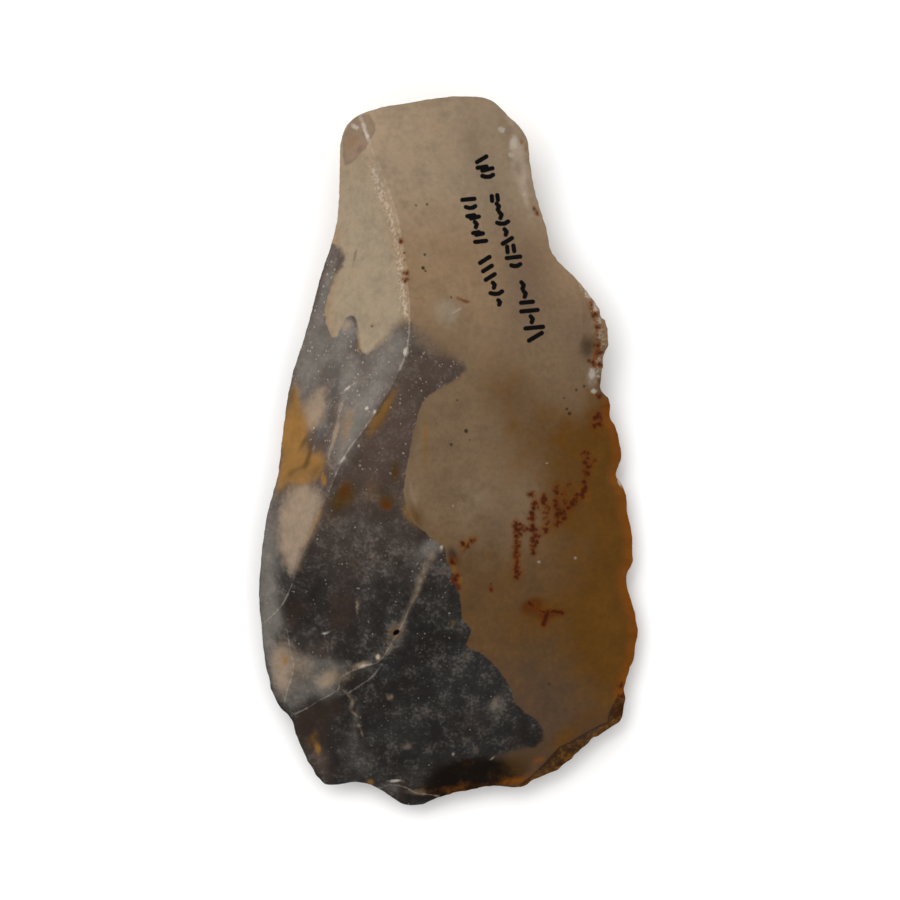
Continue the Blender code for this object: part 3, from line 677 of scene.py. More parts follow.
        (-15.4, 11.2, 1, 2.2, 0, 0.5), (-1.4, -12.4, 0.8, 0.7, 0, 0.4), (-18.9, -24.4, 0.4, 1.3, 84, 0.5),
    ],
    # pale blue-grey veil on the grey flint: partly its own tone, partly painted light, with the facets that
    # face the softbox painted lighter
    "veilAndPaintedLight": [
        (-11.6, 5.6, 1.9, 5.6, 32, 0.95), (-13.4, 9.6, 1.8, 2.8, 8, 1), (-13.8, 2, 1.8, 4.6, 10, 0.45),
        (-18.8, 12, 2.7, 7, 15, 0.85), (-9, 12.4, 3, 2.6, 40, 0.55), (-7.2, 14.8, 1.6, 2.2, -10, 0.75),
        (-14.4, 15, 1.8, 3, 10, 0.8), (-24.6, -13, 1.6, 8, 5, 0.8), (-24.2, -19.6, 1.2, 3.2, 0, 0.45),
        (-23.4, -22.6, 1.4, 2.2, 0, 0.75), (-22, -12, 1.4, 4.4, 14, 0.4),
        (-24.2, -27.6, 1.1, 6, -12, 0.85), (-12, -9.6, 2.4, 2.2, 0, 0.3), (-7.6, -11.2, 2.6, 2, 20, 0.25),
        (-10.8, -28.6, 1, 1.5, 60, 0.45), (-12.6, -41.4, 5, 3, 90, 0.3), (6.2, -34, 1.2, 2, 30, 0.4),
        (-16.6, 22.6, 1, 5, 14, 0.7), (-2.3, -12.6, 1, 1.7, 55, 1.1), (-4.2, -15.6, 1.6, 3.4, 10, 0.35),
        (-3.8, -43.6, 2, 1.4, 0, 0.25), (-13.9, 17, 1, 0.9, 40, 1.2), (-17, -31.6, 2.6, 2, 60, 0.7),
        (-12.6, -35.6, 0.6, 1.8, 10, 0.4), (-14.2, -0.9, 0.6, 0.5, 0, 0.8),
        (-6.4, -25.4, 1.2, 1.8, 30, 0.3), (-2.8, 15.6, 2.4, 2.6, 30, 0.75),
        (-7.4, -45.6, 0.9, 1.8, 88, 0.5),
    ],
    # the clear grey-brown glass of the thin lower edge
    "translucent": [
        (2, -44.4, 2.4, 5.6, 88, 1.3), (7.4, -43.5, 1.7, 3.4, 76, 0.8), (3.6, -42.6, 1.6, 3, 84, 0.5),
        (-3, -46.6, 1, 3, 90, 0.7),
    ],
    "pink": [
        (9.5, 39.6, 1.1, 3.4, -12, 1), (8.6, 44.6, 0.5, 1.4, -40, 0.5), (10.6, 34, 0.6, 3, -14, 0.5),
        (-8.5, 46.2, 0.5, 3, 80, 0.3),
    ],
    "ochre": [
        (24.4, -14, 5.4, 24, 2, 1), (20, -24, 6.5, 7.5, 0, 0.7), (21.2, 2, 3.4, 7, 6, 0.75),
        (11.8, 3.2, 5.2, 6, 20, 0.6), (11, -24.5, 4, 3.6, 0, 0.25), (12.4, -21.4, 1.6, 3, 80, 0.5),
        (8.4, 9, 4.4, 4, 0, 0.14), (15.6, -7, 4, 8, 0, 0.7), (7, 7.5, 4, 3.4, 0, 0.25),
        (1.6, 27, 4, 3, 0, 0.12), (-3.6, -8, 0.6, 2, -20, 0.4), (8, -17, 3, 4, 0, 0.2),
        (16, -38.6, 4, 1.6, -40, 0.6),
    ],
    # orange stains, and along the thin edges partly painted glow of light passing through the flint
    "orangeStainAndGlow": [
        (3.1, -11.6, 0.5, 0.9, 40, 0.6), (1.7, -13.5, 0.4, 1, 40, 0.35), (0.9, -15.1, 0.4, 1, 10, 0.5),
        (1.2, -16.8, 0.35, 0.8, -10, 0.8), (-3.1, 0, 0.3, 4, 0, 0.3), (12.4, -21.4, 1.6, 3.2, 80, 0.25),
        (20.3, 13, 0.7, 1.8, 10, 1.2), (19.9, 18.6, 0.6, 2.6, -28, 0.7), (20.2, 4, 1, 2.4, 10, 0.5),
        (12.4, -41.8, 0.7, 1.4, 50, 0.6), (18.4, -5.4, 1.6, 2, 30, 0.35), (9.2, -13.2, 0.5, 4, 0, 0.6),
        (11.3, -9.6, 0.6, 3.6, 0, 0.4), (23.6, -32.4, 0.8, 2.4, 10, 0.6), (9.6, -44.6, 0.8, 3, 76, 0.6),
        (1, -45.8, 0.8, 5.6, 84, 0.38), (-6.4, 28.1, 0.3, 0.4, 0, 0.7),
    ],
    # soft brown spills of iron round the cracks and the rust
    "russet": [
        (11.2, -20.6, 1, 1.6, 70, 1.2), (13.8, -21.8, 0.6, 2.2, 82, 0.9),
        (13.1, -22.6, 0.45, 1.1, 25, 0.9), (-14, -5.2, 0.9, 1.5, 20, 0.6), (-8.4, -7, 0.8, 0.8, 0, 0.8),
        (16.6, -7.2, 0.8, 2.4, 50, 0.5), (14.7, -7.6, 0.6, 2, 0, 0.5), (18.5, -3.4, 0.5, 2.6, 10, 0.5),
        (11.4, -9.6, 0.4, 3.2, 0, 0.5), (9.1, -13, 0.4, 3.2, 0, 0.6), (20.3, 15.2, 0.6, 2.6, 5, 0.6),
        (19.6, 18.8, 0.4, 2, -30, 0.5), (5.3, -13.6, 0.5, 0.6, 0, 0.5), (2.2, -12.8, 0.4, 1.4, 36, 0.6),
        (20.3, 5, 0.6, 1.8, 10, 0.4),
    ],
    # brown-grey dusk on the grey flint, and painted shade on the tan right of the spine by the shoulder,
    # darker where that slope turns from the light
    "duskAndPaintedShade": [
        (-10, -7.4, 4.6, 3.6, 0, 0.25), (6.4, -10, 5.4, 5, 0, 0.4), (-2, 12, 3.6, 3, 40, 0.9),
        (-6.6, 7.6, 1.8, 5, 20, 0.9), (-9.4, 0.2, 2.4, 6, 40, 0.8), (-5.2, 3.4, 1.2, 6, 0, 0.5),
        (-16.8, 22.6, 1.2, 5, 14, 0.5), (-17.4, -42, 3, 1.6, 70, 0.7), (-19.8, 11, 1.4, 5, 14, 0.6),
        (3.2, 41.5, 1.4, 5, -14, 0.2), (-18, -27, 3.4, 2.6, 0, 0.45), (-21.6, -22.6, 1.4, 1.6, 0, 0.5),
        (-3.6, 16.6, 1.4, 2, -16, 0.1), (12.6, 24, 3.4, 6, -14, 0.4), (17.6, 17.6, 3, 7, 6, 0.55),
        (10.4, 17, 5, 5, 0, 0.4), (6.6, 32, 4.5, 12, -14, 0.45), (9.2, 22.5, 3, 4, -14, 0.2),
    ],
    "chalk": [
        (-11.6, 30, 3.8, 10, -8, 0.9), (-12, 18, 4.6, 7, 0, 1), (-8.6, 22, 2, 6, -14, 0.7),
        (3, -6.5, 3.4, 3.6, 0, 0.35), (-0.2, 18.8, 2.2, 1.8, 60, 0.8),
    ],
    # where the border of the tan skin is a soft haze
    "haze": [
        (-8.6, 15.4, 3.4, 1.8, 0, 0.35), (-15.2, 25.6, 1, 3, 12, 0.3), (-2.2, 15, 4.4, 3.2, 30, 0.8),
        (12, -38.8, 2, 2, 0, 0.15), (6.5, -41.8, 3, 1.4, 0, 0.5), (-13.6, 14, 0.8, 2, 0, 0.25),
    ],
    # worn crests that show as thin pale lines, partly painted highlight where the crests catch the light:
    # line, from, to, half width
    "worn": [
        ("spine", (-12, 45.4), (-10.6, 42), 0.2), ("spine", (-10.6, 42), (-5.4, 18.6), -0.03),
        ("spine", (-4.9, 17.8), (-6.2, 11), 0.08), ("spine", (-6.2, 11), (-10.2, 3.2), -0.07),
        ("spine", (-10.2, 3.2), (-14, -0.7), 0.05), ("spine", (-14, -0.7), (-16.4, -5), -0.01),
        ("spine", (-21.5, -17.5), (-25.4, -23.4), 0), ("blueScar", (-13, 9.1), (-16.1, -0.9), -0.07),
        ("backStrip", (-21.9, -24), (-22.6, -34.5), -0.02), ("vein", (-3.2, -12.6), (-5.2, -20.5), -0.09),
        ("vein", (-5.2, -20.5), (-9.4, -28), -0.04), ("vein", (-9.4, -28), (-14.9, -31.9), -0.03),
        ("vein", (-14.9, -31.9), (-21.5, -35.8), -0.04), ("crossRidge", (-13.9, -32.7), (-9, -28.4), 0.02),
        ("tipStep", (-9.6, -45.7), (-1.2, -46.9), -0.02),
    ],
    "pit": [(-7.0, -24.0, 0.36, 0.62, 50.0)],
    # dark specks in the skin: x, y, radius
    "soot": [
        (-5.95, 26.6, 0.16), (-5.85, 25.6, 0.1), (-4.4, 33.05, 0.09), (-2.9, 33.2, 0.14),
        (-3.2, 26.4, 0.13), (-3.4, 24.6, 0.2), (-3.1, 24.2, 0.1), (0.3, 20.7, 0.14), (2.3, 2.9, 0.2),
        (2.8, 1.7, 0.12), (0.3, 1.1, 0.2), (1.1, 7, 0.1), (-10.3, 16.9, 0.12), (16, 5.9, 0.16),
        (16.4, 5.3, 0.2), (17.3, 8.5, 0.15), (18.4, 9, 0.18), (-3.6, 13.1, 0.1), (13.6, -31.3, 0.16),
        (5.7, -17.6, 0.1), (15.6, 7.4, 0.12), (11.2, 7, 0.08),
    ],
    # rust: x, y, radius
    "rust": [
        (9.1, -9.5, 0.3), (9.15, -10.35, 0.34), (9.8, -10.2, 0.28), (10.2, -10.45, 0.24),
        (9.6, -10.9, 0.2), (9.05, -11.2, 0.26), (9.1, -11.9, 0.26), (9.15, -12.6, 0.26),
        (9.1, -13.4, 0.22), (9, -14, 0.28), (9.2, -14.6, 0.24), (9.1, -15.4, 0.28), (9.15, -16, 0.34),
        (9.1, -16.7, 0.3), (11, -5.6, 0.3), (11.7, -6.8, 0.3), (11.5, -7.5, 0.3), (11.3, -8.2, 0.3),
        (11.25, -8.9, 0.3), (11.3, -9.9, 0.32), (11.1, -10.4, 0.24), (11.5, -10.3, 0.28),
        (11.7, -11.2, 0.3), (11.4, -11.9, 0.3), (11.8, -12, 0.28), (11.6, -12.5, 0.24), (11.4, -13.5, 0.3),
        (12.9, -6.1, 0.28), (12.8, -6.7, 0.3), (13.2, -7.4, 0.18), (13.3, -8.1, 0.16), (13.2, -8.7, 0.14),
        (13.5, -9.3, 0.14), (13.2, -10.4, 0.34), (14.6, -4.7, 0.2), (14.6, -5.4, 0.28), (14.6, -6.6, 0.24),
        (14.4, -7.2, 0.3), (15, -7.6, 0.3), (14.7, -8.3, 0.36), (15.2, -8.2, 0.36), (15.6, -8.9, 0.3),
        (15.6, -7.9, 0.2), (14.8, -9.4, 0.24), (14.6, -9.8, 0.2), (15.8, -6.9, 0.2), (16.2, -7.4, 0.26),
        (16.7, -7, 0.36), (17, -6.4, 0.3), (17.4, -5.7, 0.24), (17.3, -6.6, 0.2), (18.1, -5.7, 0.24),
        (18.3, -5.1, 0.36), (18.6, -4.6, 0.24), (18.4, -3.9, 0.24), (18.9, -2.9, 0.26), (18.4, -2.5, 0.24),
        (18.9, -1.9, 0.3), (18.5, -1.3, 0.24), (18.9, -0.8, 0.2), (19, -0.1, 0.24), (18.4, 0, 0.14),
        (19.9, -1, 0.2), (20.4, 3.9, 0.3), (20.7, 4.5, 0.26), (20.3, 4.9, 0.26), (19.9, 4.7, 0.28),
        (19.8, 3.7, 0.28), (16.2, -4.3, 0.14), (15.4, -5.6, 0.14), (5.7, -18.4, 0.18), (19.5, 12.3, 0.2),
        (20.4, 13.6, 0.2), (23.5, -31.8, 0.24), (23.7, -33.2, 0.24), (20.5, 7.6, 0.28), (-6.4, 28.1, 0.16),
        (-6, 23.9, 0.16), (-5.65, 23, 0.18), (9.1, -12.2, 0.24), (9.15, -13, 0.22), (19.5, 20.4, 0.14),
        (19.9, 18.8, 0.16), (20.2, 17, 0.2), (20.3, 14.6, 0.2), (20.6, 13.6, 0.2), (20.5, 12, 0.2),
        (20.7, 9.6, 0.16), (0.4, -14.6, 0.26), (1.2, -16.4, 0.22), (1.9, -12.3, 0.2), (3.1, -11.9, 0.16),
        (2.6, -12.5, 0.12), (0.4, -14.2, 0.2), (0.9, -17, 0.2), (1.3, -17.8, 0.14),
    ],
    # fine stained cracks: half width, line
    "stainLines": [
        (0.24, [(13.4, -21.6), (14.4, -21.4), (15.4, -21.7)]),
        (0.3, [(13.5, -21.5), (13.1, -22.3), (12.8, -23.1)]), (0.2, [(10.9, -20.3), (11.4, -20.6)]),
        (0.1, [(11.4, -20.6), (12.2, -21.3), (13.4, -21.6)]),
        (0, [(1.3, 20.6), (1.9, 20.35), (2.6, 20.2)]), (0.05, [(11.6, 33.2), (12.1, 32.4)]),
    ],
}
crushLines = [
    [(-10.4, 38.4), (-8.7, 33.8), (-7.1, 29.2), (-6.5, 25.4), (-6.1, 22), (-5.7, 18.5)],
    [(17.8, 23.2), (19.5, 20.6), (20.6, 17.6), (20.9, 14.6), (20.3, 12), (20.3, 9.8)],
]
inkLines = inkStrokes()
softMarks = (
    "amber", "redBrownAndPaintedShade", "olive", "slate", "veilAndPaintedLight", "duskAndPaintedShade", "translucent", "pink", "ochre", "chalk", "orangeStainAndGlow",
    "russet", "haze",
)
maskNames = (
    "patina", "worked", "band", "corner", "worn", "crush", "pale", "rust", "soot", "ink", "white", "pit",
) + softMarks
maskValues = {
    "crushReach": 1.05,      # mm each side of a crushed line
    "bandMost": 0.4,
    "paleOut": 0.7,          # mm by which the crust spreads past its loop, and over which it thickens
    "paleOver": 2.2,
    "heelOver": 3.2,
    "heelMost": 0.6,
    "underSkin": 5.0,        # how much further the tan skin reaches on the under face, in mm
    "underStains": 0.6,      # strength of the stains there, which are the first few of each kind
    "underCount": 4,
    "spatterSeed": 5,
}


def roundDots(plan, dots):
    # how far inside the nearest dot each point is, in mm
    deepest = np.full(len(plan), farOutside)
    for x, y, radius in dots:
        deepest = np.maximum(deepest, radius - np.hypot(plan[:, 0] - x, plan[:, 1] - y))
    return deepest


def spattered(dots, seed):
    # each rust spot with two smaller ones close by
    dice = random.Random(seed)
    more = list(dots)
    for x, y, radius in dots:
        for _ in range(2):
            turn = dice.uniform(0.0, 2 * math.pi)
            away = dice.uniform(0.2, 0.5)
            size = radius * dice.uniform(0.35, 0.8)
            more.append((x + away * math.cos(turn), y + away * math.sin(turn), size))
    return more


def rimDistance(plan, outline):
    return np.minimum(lineDistance(plan, outline), lineDistance(plan, outline[[-1, 0]]))


def maskUpper(plan, outline, spine):
    rust = roundDots(plan, spattered(marks["rust"], maskValues["spatterSeed"]))
    for halfWidth, line in marks["stainLines"]:
        rust = np.maximum(rust, halfWidth - lineDistance(plan, line))
    pen = np.full(len(plan), farOutside)
    left, right, low, high = ink["field"]
    nearInk = (plan[:, 0] > left) & (plan[:, 0] < right) & (plan[:, 1] > low) & (plan[:, 1] < high)
    for line in inkLines:
        pen[nearInk] = np.maximum(pen[nearInk], ink["penWidth"] / 2 - lineDistance(plan[nearInk], line))
    # pale lines along the crests, partly wear and partly painted highlight
    worn = np.full(len(plan), farOutside)
    for name, start, end, halfWidth in marks["worn"]:
        line = spine if name == "spine" else smoothLine(lesserRidges[name], stone["lineStep"])
        line = line[nearestIndex(line, start):nearestIndex(line, end) + 1]
        worn = np.maximum(worn, halfWidth - lineDistance(plan, line))
    band = loopDepth(plan, lesserRidges["endBevel"] + marks["beyondBand"])
    crust = (loopDepth(plan, marks["paleLoop"]) + maskValues["paleOut"]) / maskValues["paleOver"]
    masks = {
        "patina": loopDepth(plan, marks["patinaLoop"]),
        "rim": rimDistance(plan, outline),
        "worked": lineDistance(plan, runOf(outline, workingEdge[0], workingEdge[-1])[0]),
        "band": np.minimum(band, maskValues["bandMost"]),
        "corner": loopDepth(plan, marks["cornerLoop"]),
        "worn": worn,
        "crush": maskValues["crushReach"] - np.minimum(*[lineDistance(plan, line) for line in crushLines]),
        "pale": np.maximum(np.clip(crust, -0.2, 1.0), softOvals(plan, marks["pale"])),
        "rust": rust,
        "soot": roundDots(plan, marks["soot"]),
        "ink": pen,
    }
    for name in ("white", "pit"):
        masks[name] = crispOvals(plan, marks[name])
    for name in softMarks:
        masks[name] = softOvals(plan, marks[name])
    # the facet above the heel gets the veil, partly painted light on the lit facet
    heel = loopDepth(plan, marks["heelLoop"]) / maskValues["heelOver"] + 0.12
    masks["veilAndPaintedLight"] = np.maximum(masks["veilAndPaintedLight"], np.clip(heel, 0.0, maskValues["heelMost"]))
    return masks


def maskUnder(plan, outline):
    # the same nodule seen from below: tan all over but for the grey heart at the broad end
    masks = {name: np.full(len(plan), farOutside) for name in maskNames if name not in softMarks}
    masks["worked"] = lineDistance(plan, runOf(outline, workingEdge[0], workingEdge[-1])[0])
    masks["patina"] = loopDepth(plan, marks["patinaLoop"]) + maskValues["underSkin"]
    masks["rim"] = rimDistance(plan, outline)
    masks["pale"] = np.zeros(len(plan))
    for name in softMarks:
        few = marks[name][:maskValues["underCount"]]
        masks[name] = maskValues["underStains"] * softOvals(plan, few)
    return masks


# ---- the two faces

def upperRelief(plan, masks, scoops):
    fade = np.clip(masks["rim"] / stone["rimFade"], 0, 1)
    run = np.hypot(*(plan - stone["waveFrom"]).T)
    waves = stone["waveHeight"] * np.sin(run * (1.5 - run * 0.004)) * (masks["patina"] > 0)
    broad = ripple(plan, stone["broad"]) + ripple(plan, stone["fine"])
    rough = ripple(plan, stone["rough"]) * np.clip(-masks["patina"] / 2, 0, 1)
    inBand = np.clip(masks["crush"] / 0.3 + 0.5, 0, 1)
    crushed = (ripple(plan, stone["crushed"]) - stone["crushDrop"]) * inBand
    return fade * (waves + broad + rough + crushed - scoopDepths(plan, scoops + spalls))


def upperSheet(outline):
    spine = snapEnds(smoothLine(spineLine, stone["lineStep"]), outline, stone["spineSnap"])
    spine = keepInside(spine, outline)
    lesser = []
    for knots in lesserRidges.values():
        targets = np.vstack([outline, spine] + lesser)
        ridge = snapEnds(smoothLine(knots, stone["lineStep"]), targets, stone["ridgeSnap"])
        lesser.append(keepInside(ridge, outline))
    line, scoops = retouch(outline)
    lesser.append(line)
    lines = [spine] + lesser
    plan, triangles, sources = cutPlan(outline, lines, stone["upperStep"], detailPoints(outline))
    stacked = np.concatenate([outline[:, 2]] + [line[:, 2] for line in lines])
    isMain = np.arange(len(stacked)) < len(outline) + len(spine)
    held = heldHeights(sources, stacked, isMain)
    sag = softOvals(plan, swells + hollows)
    film = stretchFilm(plan, triangles, held, sag)
    rise = heldHeights(sources, stacked, ~isMain)
    height = stretchFilm(plan, triangles, np.where(np.isnan(held) & ~np.isnan(rise), film + rise, held), sag)
    masks = maskUpper(plan, outline, spine)
    for run in edgeRuns:
        scoops = scoops + edgeScoops(outline, *run)
    return plan, height + upperRelief(plan, masks, scoops), triangles, masks


def detailPoints(outline):
    # where the mesh is finer: the ink, the rust, the pit and the worked edges
    points = [point for line in inkLines for point in line]
    points += [(start + end) / 2 for line in inkLines for start, end in zip(line, line[1:])]
    points += [np.array(mark[:2]) for mark in marks["rust"] + marks["soot"] + marks["white"]]
    points += [point for _, line in marks["stainLines"] for point in smoothLine(line, stone["stainStep"])]
    points += [np.array(spall[:2]) for spall in spalls]
    points += [point for line in crushLines for point in smoothLine(line, stone["traceStep"])]
    points += list(smoothLine(spineLine, stone["traceStep"])[:, :2])
    first = nearestIndex(outline, shoulderEdge[-1])
    last = nearestIndex(outline, broadEnd[-1])
    points += list(outline[first:last:2, :2])
    for knots in lesserRidges.values():
        points += list(smoothLine(knots, stone["traceStep"])[:, :2])
    return np.array([point[:2] for point in points])


def underSheet(outline):
    platform = snapEnds(smoothLine(platformLine, stone["lineStep"]), outline, stone["spineSnap"])
    platform = keepInside(platform, outline)
    plan, triangles, sources = cutPlan(outline, [platform], stone["underStep"])
    stacked = np.concatenate([outline[:, 2], platform[:, 2]])
    held = heldHeights(sources, stacked, np.ones(len(stacked), bool))
    film = stretchFilm(plan, triangles, held, stone["underSwell"] + softOvals(plan, bulb))
    swell = np.maximum(film, 0.0)
    height = np.where(np.isnan(held), swell * swell / (swell + stone["underSoftness"]), film)
    masks = maskUnder(plan, outline)
    # rings that spread from the point of the blow, drawn only where the face is off the ground
    run = np.hypot(*(plan - stone["ringFrom"]).T)
    rings = stone["ringHeight"] * (1 + np.sin(run * 1.25 - run * run * 0.004))
    rings += stone["ringRough"] * (1 + ripple(plan, stone["ringRipple"]))
    off = np.clip(height / 1.2, 0, 1) * np.clip(masks["rim"] / 2.0, 0, 1)
    return plan, height + rings * off, triangles, masks


def toBox(points):
    # brings the stone to the solid's own box
    low = points.min(axis=0)
    span = points.max(axis=0) - low
    return np.array(cadLow) + (points - low) / span * (np.array(cadHigh) - np.array(cadLow))


def makeStone():
    knots = buttEdge + shoulderEdge + notchEdge + workingEdge + broadEnd + backEdge
    outline = smoothLine(knots, stone["lineStep"], closed=True)
    scoops = retouch(outline)[1]
    for run in edgeRuns:
        scoops = scoops + edgeScoops(outline, *run)
    outline = nickOutline(outline, scoops)
    rim = len(outline)
    upperPlan, upperHeight, upperFaces, upperMasks = upperSheet(outline)
    print("upper face:", len(upperFaces), "triangles")
    underPlan, underHeight, underFaces, underMasks = underSheet(outline)
    print("under face:", len(underFaces), "triangles")
    points = np.vstack([
        np.column_stack([upperPlan, upperHeight]),
        np.column_stack([underPlan, underHeight])[rim:],
    ])
    underIndex = np.arange(len(underPlan)) + len(upperPlan) - rim
    underIndex[:rim] = np.arange(rim)
    faces = np.vstack([upperFaces, underIndex[underFaces][:, ::-1]])
    mesh = bpy.data.meshes.new("flintStone")
    mesh.from_pydata(toBox(points).tolist(), [], faces.tolist())
    mesh.shade_smooth()
    mesh.set_sharp_from_angle(angle=math.radians(stone["sharpAngle"]))
    for name in maskNames:
        stored = mesh.attributes.new(name, "FLOAT", "POINT")
        both = np.concatenate([upperMasks[name], underMasks[name][rim:]])
        stored.data.foreach_set("value", both.astype(np.float32))
    layIslands(mesh, points, len(upperFaces))
    return mesh


def layIslands(mesh, points, upperCount):
    # one flat island for each face, side by side, so the baked finish has even detail
    low = points.min(axis=0)
    span = points.max(axis=0) - low
    between = 2              # mm between the islands
    margin = 0.01            # share of the sheet left free at its edge
    scale = 0.98 / (2 * span[0] + between)
    corners = np.empty(len(mesh.loops), np.int32)
    mesh.loops.foreach_get("vertex_index", corners)
    flat = (points[corners, :2] - low[:2]) * scale + margin
    flat[3 * upperCount:, 0] += (span[0] + between) * scale
    islands = mesh.uv_layers.new(name="OFBake")
    islands.data.foreach_set("uv", flat.astype(np.float32).ravel())


# ---- the material

flint = {
    "tanButt": "#86745F",     # the tan skin, from the butt down to the broad end, darker towards the end: partly its own tone, partly painted shade
    "tanNeck": "#806950",
    "tanBelly": "#6D5943",
    "tanLow": "#563F26",
    "tanEnd": "#4C3A2B",
    "chalk": "#81735F",       # where the skin is thicker and paler
    "ochre": "#54360F",       # iron stain that soaks in from the edge
    # orange: iron stain, and painted glow of light through the thin edges
    "orangeStainAndGlow": "#6E3C06",
    "pink": "#9C8A78",
    "greyDark": "#201D1B",    # the flint's own heart
    "greyMid": "#2C2A28",
    "speck": "#807B76",
    # brown-grey dusk, also used as painted shade on the tan by the shoulder
    "duskAndPaintedShade": "#4B3E36",
    # veil: partly the flint's own tone, partly painted light on the facets that face the softbox
    "veilAndPaintedLight": "#5F5A54",
    "slate": "#46423E",
    "olive": "#432E10",
    "amber": "#755326",
    # red-brown stain, partly painted shade in the hollow and on the facet below the vein's lower end
    "redBrownAndPaintedShade": "#2B211C",
    "russet": "#4C2403",
    # pale crust, also used as painted light beside the vein and above the heel
    "pale": "#7F6E5C",
    "white": "#A39A8C",
    # pale crest colour: partly wear, partly painted highlight
    "worn": "#948A80",
    "translucent": "#0D0500",
    "flesh": "#73604F",
    "bandDark": "#2A1302",
    "bandLight": "#744A22",
    "rust": "#301004",
    "rustHalo": "#5A2B06",
    "soot": "#1E1809",
    "pit": "#080504",
    "ink": "#030304",
    "ior": 1.54,              # chalcedony
    "roughness": 0.42,
    "specular": 0.04,         # the weathered skin shines less than fresh flint
    "grainDepth": 0.018,      # mm
    "glossSwing": 0.16,       # how much the roughness varies from place to place
    "freckleRelief": 1.2,     # the freckles' share of the surface grain
    "fleckCell": 0.55,        # mm from one bright crystal to the next
    "fleckSize": 0.4,         # how much their sizes differ
    "borderLeast": 0.12,      # half width of the skin's border in mm, and how much a haze widens it
    "borderHaze": 2.2,
}

# Noise: size in mm, detail, roughness. The true grain is far finer than this and wouldn't show.
patterns = {
    "cloud": (9.0, 3.0, 0.5), "mottle": (2.4, 4.0, 0.6), "freckle": (0.75, 4.0, 0.65),
    "speckle": (0.42, 2.0, 0.5), "grain": (0.30, 2.0, 0.5),
}
mottling = {"cloud": 0.3, "mottle": 0.6, "freckle": 0.5}   # how far each darkens and lightens the stone
fray = {"mottle": 0.6, "freckle": 0.25}    # mm that each shifts the skin's border

# Each finish in turn: its mask, the patterns that fray its edge, from and to, least and most.
greyLayers = [
    ("greyMid", "cloud", {"mottle": 0.8}, 0.30, 0.70, 0.0, 0.75),
    # the grey turns brown-grey towards the butt and stays darker towards the broad end
    ("duskAndPaintedShade", "along", {"mottle": 6.0, "cloud": 8.0}, -22, -1, 0.0, 0.75),
    ("duskAndPaintedShade", "duskAndPaintedShade", {"mottle": 0.4, "freckle": 0.2}, 0.0, 1.0, 0.0, 0.95),
    # the veil layer paints the facets that face the softbox lighter, partly as painted light
    ("veilAndPaintedLight", "veilAndPaintedLight", {"mottle": 0.35, "freckle": 0.2}, 0.0, 1.0, 0.0, 0.95),
    ("slate", "slate", {"mottle": 0.4, "freckle": 0.2}, 0.1, 0.8, 0.0, 0.9),
    ("speck", "speckle", {"mottle": 1.1, "cloud": 0.2}, 0.46, 0.92, 0.0, 0.22),
    ("white", "flecks", {"mottle": 0.6, "freckle": 0.7, "along": -0.003}, 0.12, 0.36, 0.5, 0.0),
]
# the tan darkens from the butt to the broad end: partly its own tone, partly painted shade where the lower
# part turns from the light
tanLayers = [
    ("tanLow", "along", {"mottle": 6.0}, -35, -23, 0.0, 1.0),
    ("tanBelly", "along", {"mottle": 6.0}, -18, -6, 0.0, 1.0),
    ("tanNeck", "along", {"mottle": 6.0}, 10, 23, 0.0, 1.0),
    ("tanButt", "along", {"mottle": 6.0}, 25, 37, 0.0, 1.0),
    ("chalk", "chalk", {"cloud": 0.4, "mottle": 0.4}, 0.1, 0.8, 0.0, 0.95),
    # dusk on the tan is painted shade beside the shoulder
    ("duskAndPaintedShade", "duskAndPaintedShade", {"cloud": 0.4, "mottle": 0.5}, 0.1, 0.9, 0.0, 0.6),
    ("pink", "pink", {"cloud": 0.5, "mottle": 0.5}, 0.1, 0.8, 0.0, 0.95),
    ("ochre", "ochre", {"cloud": 0.8, "mottle": 0.6}, 0.0, 0.9, 0.0, 1.0),
]
